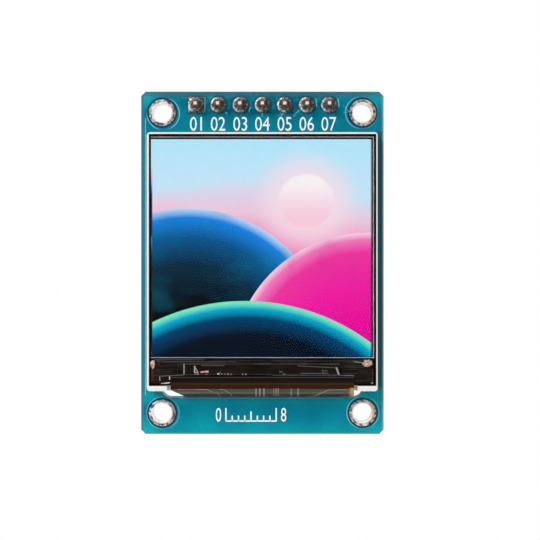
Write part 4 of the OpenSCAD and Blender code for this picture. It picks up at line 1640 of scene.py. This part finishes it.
@dataclass
class FlexTracks:
    """Copper lines that lie on the flex and follow its bends."""

    radius: float = 0.8
    wire: float = 0.03
    stop: float = 0.5
    span: Span = field(default_factory=lambda: Span.of("flex_tail"))
    bond: float = field(default_factory=lambda: Span.of("driver_chip").low.z - CHIP_GAP)
    start: float = 1.3
    straight: Sequence[float] = (
        -0.75, -0.66, -0.32, -0.24, 0.14, 0.23, 1.28, 1.46, 1.64, 1.82, 3.25, 3.34, 4.02, 4.1,
    )
    # Corners of each line that runs in from the side, as place across and distance along the flex
    bent: Sequence[Sequence[Spot]] = (
        ((-9.6, 1.42), (-6.3, 1.44), (-5.0, 1.96), (-4.8, 2.6)),
        ((-4.9, 1.4), (-4.3, 1.48), (-3.6, 1.96), (-3.4, 2.6)),
        ((10.0, 1.46), (7.5, 1.48), (6.5, 1.96), (4.7, 3.2)),
    )

    def _at(self, x: float, run: float) -> Vector:
        """A point on the flex's outer face.

        Args:
            x: Place across.
            run: Distance along the flex from its upper edge on the glass.

        Returns:
            The point.
        """
        front, rear, foot = self.span.low.y, self.span.high.y, self.span.low.z
        bend_z, turn = foot + self.radius, self.radius * math.pi / 2
        flat = self.bond - bend_z
        through = (rear - front) - 2 * self.radius
        if run <= flat:
            return Vector((x, front, self.bond - run))
        run -= flat
        if run <= turn:
            across, up = math.cos(run / self.radius), math.sin(run / self.radius)
            return Vector((x, front + self.radius * (1 - across), bend_z - self.radius * up))
        run -= turn
        if run <= through:
            return Vector((x, front + self.radius + run, foot))
        run -= through
        if run <= turn:
            across, up = math.sin(run / self.radius), math.cos(run / self.radius)
            return Vector((x, rear - self.radius * (1 - across), bend_z - self.radius * up))
        return Vector((x, rear, bend_z + run - turn))

    def _line(self, stops: Sequence[Spot], pace: float = 0.12) -> list[Vector]:
        """A polyline on the flex.

        Args:
            stops: Place across and distance along the flex of each corner.
            pace: Longest step between points.

        Returns:
            Points on the flex.
        """
        points = []
        for (x0, r0), (x1, r1) in zip(stops, stops[1:]):
            count = max(1, int(math.hypot(x1 - x0, r1 - r0) / pace))
            points += [self._at(x0 + (x1 - x0) * i / count, r0 + (r1 - r0) * i / count) for i in range(count)]
        return points + [self._at(*stops[-1])]

    def _length(self) -> float:
        """Distance along the flex from its upper edge on the glass to the lines' end near the beads."""
        front, rear = self.bond - self.span.low.z, self.span.high.z - self.stop - self.span.low.z
        return front + self.span.size.y + rear - (4 - math.pi) * self.radius

    def build(self) -> None:
        """Builds the lines."""
        end = self._length()
        lines = [((x, self.start), (x, end)) for x in self.straight]
        lines += [(*corners, (corners[-1][0], end)) for corners in self.bent]
        form = bmesh.new()
        for stops in lines:
            pour(form, tube(self._line(stops), self.wire, 1))
        settle("flex_lines", close_up(form, "flex_lines"), FLEX_TRACK, 60)


@dataclass
class PasteDots:
    """Lumps of dried silver paste at the ends of the glass ledge."""

    swell: float = 0.34
    # Shift of each lump from its node, and its half sides against the node's
    lumps: Mapping[str, tuple[Spot, Spot]] = field(default_factory=lambda: {
        "paste_dot_left": ((-0.22, 0.0), (0.72, 1.0)),
        "paste_dot_right": ((-0.24, 0.16), (1.3, 0.95)),
    })

    def build(self) -> None:
        """Builds both lumps."""
        for seed, (node, (shift, grow)) in enumerate(self.lumps.items()):
            span = Span.of(node)
            form = bmesh.new()
            bmesh.ops.create_icosphere(form, subdivisions=4, radius=1.0)
            for vert in form.verts:
                lump = noise.fractal(vert.co * 1.6 + Vector((seed * 5.3, 0, 0)), 0.8, 2.0, 3)
                vert.co *= 1 + self.swell * lump
            bmesh.ops.bisect_plane(
                form, geom=form.verts[:] + form.edges[:] + form.faces[:], plane_co=(0, 0, 0),
                plane_no=(0, 1, 0), clear_outer=True,
            )
            bmesh.ops.holes_fill(form, edges=[e for e in form.edges if e.is_boundary])
            half = span.size / 2
            place = Matrix.Translation((span.middle.x + shift[0], span.high.y, span.middle.z + shift[1]))
            size = Matrix.Diagonal((half.x * grow[0], span.size.y, half.z * grow[1], 1))
            bmesh.ops.transform(form, verts=form.verts, matrix=place @ size)
            piece = settle(node + "_lump", close_up(form, node), PASTE, 60)
            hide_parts(node)


@dataclass
class Dressing:
    """Gives every CAD node its finish."""

    finishes: Mapping[str, Finish] = field(default_factory=lambda: {
        "board": Laminate("laminate"),
        "solder_mask_front": MASK,
        "solder_mask_rear": MASK,
        "header_pads": PAD,
        "rear_pads": PAD,
        "fixing_ring": RingMetal("tinned_ring"),
        "pin": PinMetal("drawn_brass"),
        "header_housing": Moulding("housing_plastic", grey(14), grey(30)),
        "header_solder": SOLDER,
        "mounting_tape": Moulding("mounting_tape", hue(226, 220, 202), hue(206, 198, 176), rough=(0.6, 0.2)),
        "reflector": FilmSheet("mirror_sheet", hue(220, 224, 228), metallic=0.9, rough=0.12),
        "backlight_frame": FramePlastic("frame_plastic"),
        "light_guide": ClearSheet("light_guide", ior=1.3),
        "diffuser_film": FilmSheet("diffuser_film", hue(240, 240, 238), rough=0.6),
        "prism_film_lower": PRISM,
        "prism_film_upper": PRISM,
        "lamp_strip": FLEX,
        "lamp": Ceramic("lamp_body", hue(238, 232, 196), hue(226, 206, 120), rough=0.3),
        "shield_tape": Moulding("shield_tape", grey(10), grey(18), rough=(0.6, 0.2), specular=0.1),
        "rear_polarizer": Moulding("rear_polarizer", grey(14), grey(22), rough=(0.2, 0.1), specular=0.2),
        "lower_glass": LedgeGlass("ledge_glass"),
        "cell_border": BorderInk("border_black"),
        "filter_glass": ClearSheet("filter_glass", ior=1.05),
        "front_polarizer": ClearSheet("front_polarizer", tint=(0.94, 0.95, 0.95, 1), ior=1.14),
        "driver_chip": ChipSilicon("driver_silicon"),
        "paste_dot_left": PASTE,
        "paste_dot_right": PASTE,
        "flex_tail": FLEX,
        "tail_solder": JOINT,
        "capacitor": Ceramic("capacitor_ceramic"),
        "resistor": Ceramic("resistor_glaze", grey(18), grey(34), rough=0.3),
        "chip_ends": Metal("tinned_end", hue(214, 214, 212), hue(160, 156, 150), depth=0.01),
        "chip_solder_joints": JOINT,
        "regulator": PACKAGE,
        "regulator_leads": LEAD,
        "transistor": PACKAGE,
        "transistor_leads": LEAD,
        **{part.value: Scenery(part.value, part) for part in Field},
    })

    def build(self) -> None:
        """Dresses the nodes, those of a numbered row by the row's name."""
        for name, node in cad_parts.items():
            finish = self.finishes[name if name in self.finishes else name.rstrip("0123456789_")]
            node.data.materials.clear()
            node.data.materials.append(finish.material())
            LOG.info("%s wears %s", name, finish.name)


@dataclass
class Studio:
    """Plain floor, soft light, white surroundings and the camera."""

    eye: tuple[float, float, float] = (0.87, -121.4, -0.83)
    width: float = 62.0
    reach: float = 120.0
    sensor: float = 36.0
    floor_z: float = -56.0
    floor_radius: float = 130.0
    # Distances between which the floor turns white
    floor_fade: Spot = (30.0, 88.0)
    ambient: float = 0.45
    # Place, side and power of each lamp
    lamps: Mapping[str, tuple[Sequence[float], float, float]] = field(default_factory=lambda: {
        "key": ((-330, -300, 330), 240, 2.6), "fill": ((260, -420, 60), 300, 0.35),
    })
    # Y of the directions between which the surroundings turn dark in front of the screen
    flag: Spot = (-0.72, -0.9)

    def build(self) -> None:
        """Builds the studio."""
        self._camera()
        self._world()
        self._floor()
        for name, settings in self.lamps.items():
            self._lamp(name, *settings)
        bpy.context.scene.view_settings.view_transform = "Standard"
        LOG.info("studio is ready")

    def _camera(self) -> None:
        """Sets the camera square on to the screen."""
        data = bpy.data.cameras.new("camera")
        data.sensor_width = self.sensor
        data.lens = self.sensor * self.reach / self.width
        data.clip_start, data.clip_end = 0.001, 20.0
        camera = link("camera", data)
        camera.location = Vector(self.eye) * MM
        camera.rotation_euler = (math.pi / 2, 0, 0)
        bpy.context.scene.camera = camera

    def _lamp(self, name: str, place: Sequence[float], size: float, power: float) -> None:
        """Adds a square soft lamp aimed at the module.

        Args:
            name: Name of the lamp.
            place: Its place, in millimetres.
            size: Its side, in millimetres.
            power: Its power, in watts.
        """
        data = bpy.data.lights.new(name, "AREA")
        data.size, data.energy = size * MM, power
        lamp = link(name, data)
        lamp.location = Vector(place) * MM
        lamp.rotation_euler = (-lamp.location).to_track_quat("-Z", "Y").to_euler()

    @staticmethod
    def _plain(bench: Bench) -> Wire:
        """One where a ray comes straight from the camera or through a clear sheet."""
        camera, clear = (bench.node("LightPath", out=f"Is {ray} Ray") for ray in ("Camera", "Transmission"))
        return camera.most(clear)

    def _seen(self, bench: Bench) -> Wire:
        """One where a ray comes from the camera, a reflection or a clear sheet."""
        return self._plain(bench).most(bench.node("LightPath", out="Is Glossy Ray"))

    def _world(self) -> None:
        """Makes the surroundings white to look at and softer as a light."""
        world = bpy.data.worlds.new("surroundings")
        bpy.context.scene.world = world
        bench = Bench(world)
        level = self._seen(bench) * (1 - self.ambient) + self.ambient
        _, toward, _ = bench.split(bench.node("TexCoord", out="Generated"))
        flag = toward.rise(*self.flag) * (1 - self._plain(bench))
        bench.finish(bench.node("Background", {}, {"Color": WHITE, "Strength": level * (1 - flag)}))

    def _floor(self) -> None:
        """Lays a pale floor that turns white away from the module."""
        form = bmesh.new()
        bmesh.ops.create_circle(form, cap_ends=True, segments=96, radius=self.floor_radius)
        mesh = bake(form, "floor")
        mesh.transform(Matrix.Translation((0, 0, self.floor_z)))
        mesh.transform(Matrix.Scale(MM, 4))
        floor = link("floor", mesh)
        bench = Bench(bpy.data.materials.new("floor_paper"))
        x, y, _ = bench.axes()
        away = x.reach(y).rise(*self.floor_fade)
        paper = bench.node("BsdfPrincipled", {}, {
            "Base Color": grey(242), "Roughness": 0.85, "Specular IOR Level": 0.1,
        })
        white = bench.node("Emission", {}, {"Color": WHITE, "Strength": 1.0})
        bench.finish(bench.node("MixShader", {}, [self._seen(bench) * away, paper, white]))
        mesh.materials.append(bench.owner)
        floor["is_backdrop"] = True


def corners() -> list[list[float]]:
    """The lowest and highest corners of what is shown, as plain lists."""
    return [list(corner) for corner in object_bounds()]


def main() -> None:
    """Builds the module's pieces, finishes and studio in order."""
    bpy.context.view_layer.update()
    Studio().build()
    Dressing().build()
    for part in (Header(), Caption(), FrontCopper(), RearCopper(), RearLegend(), FlexTracks(), PasteDots()):
        part.build()
        LOG.info("%s is built", type(part).__name__)


if __name__ == "__main__":
    main()
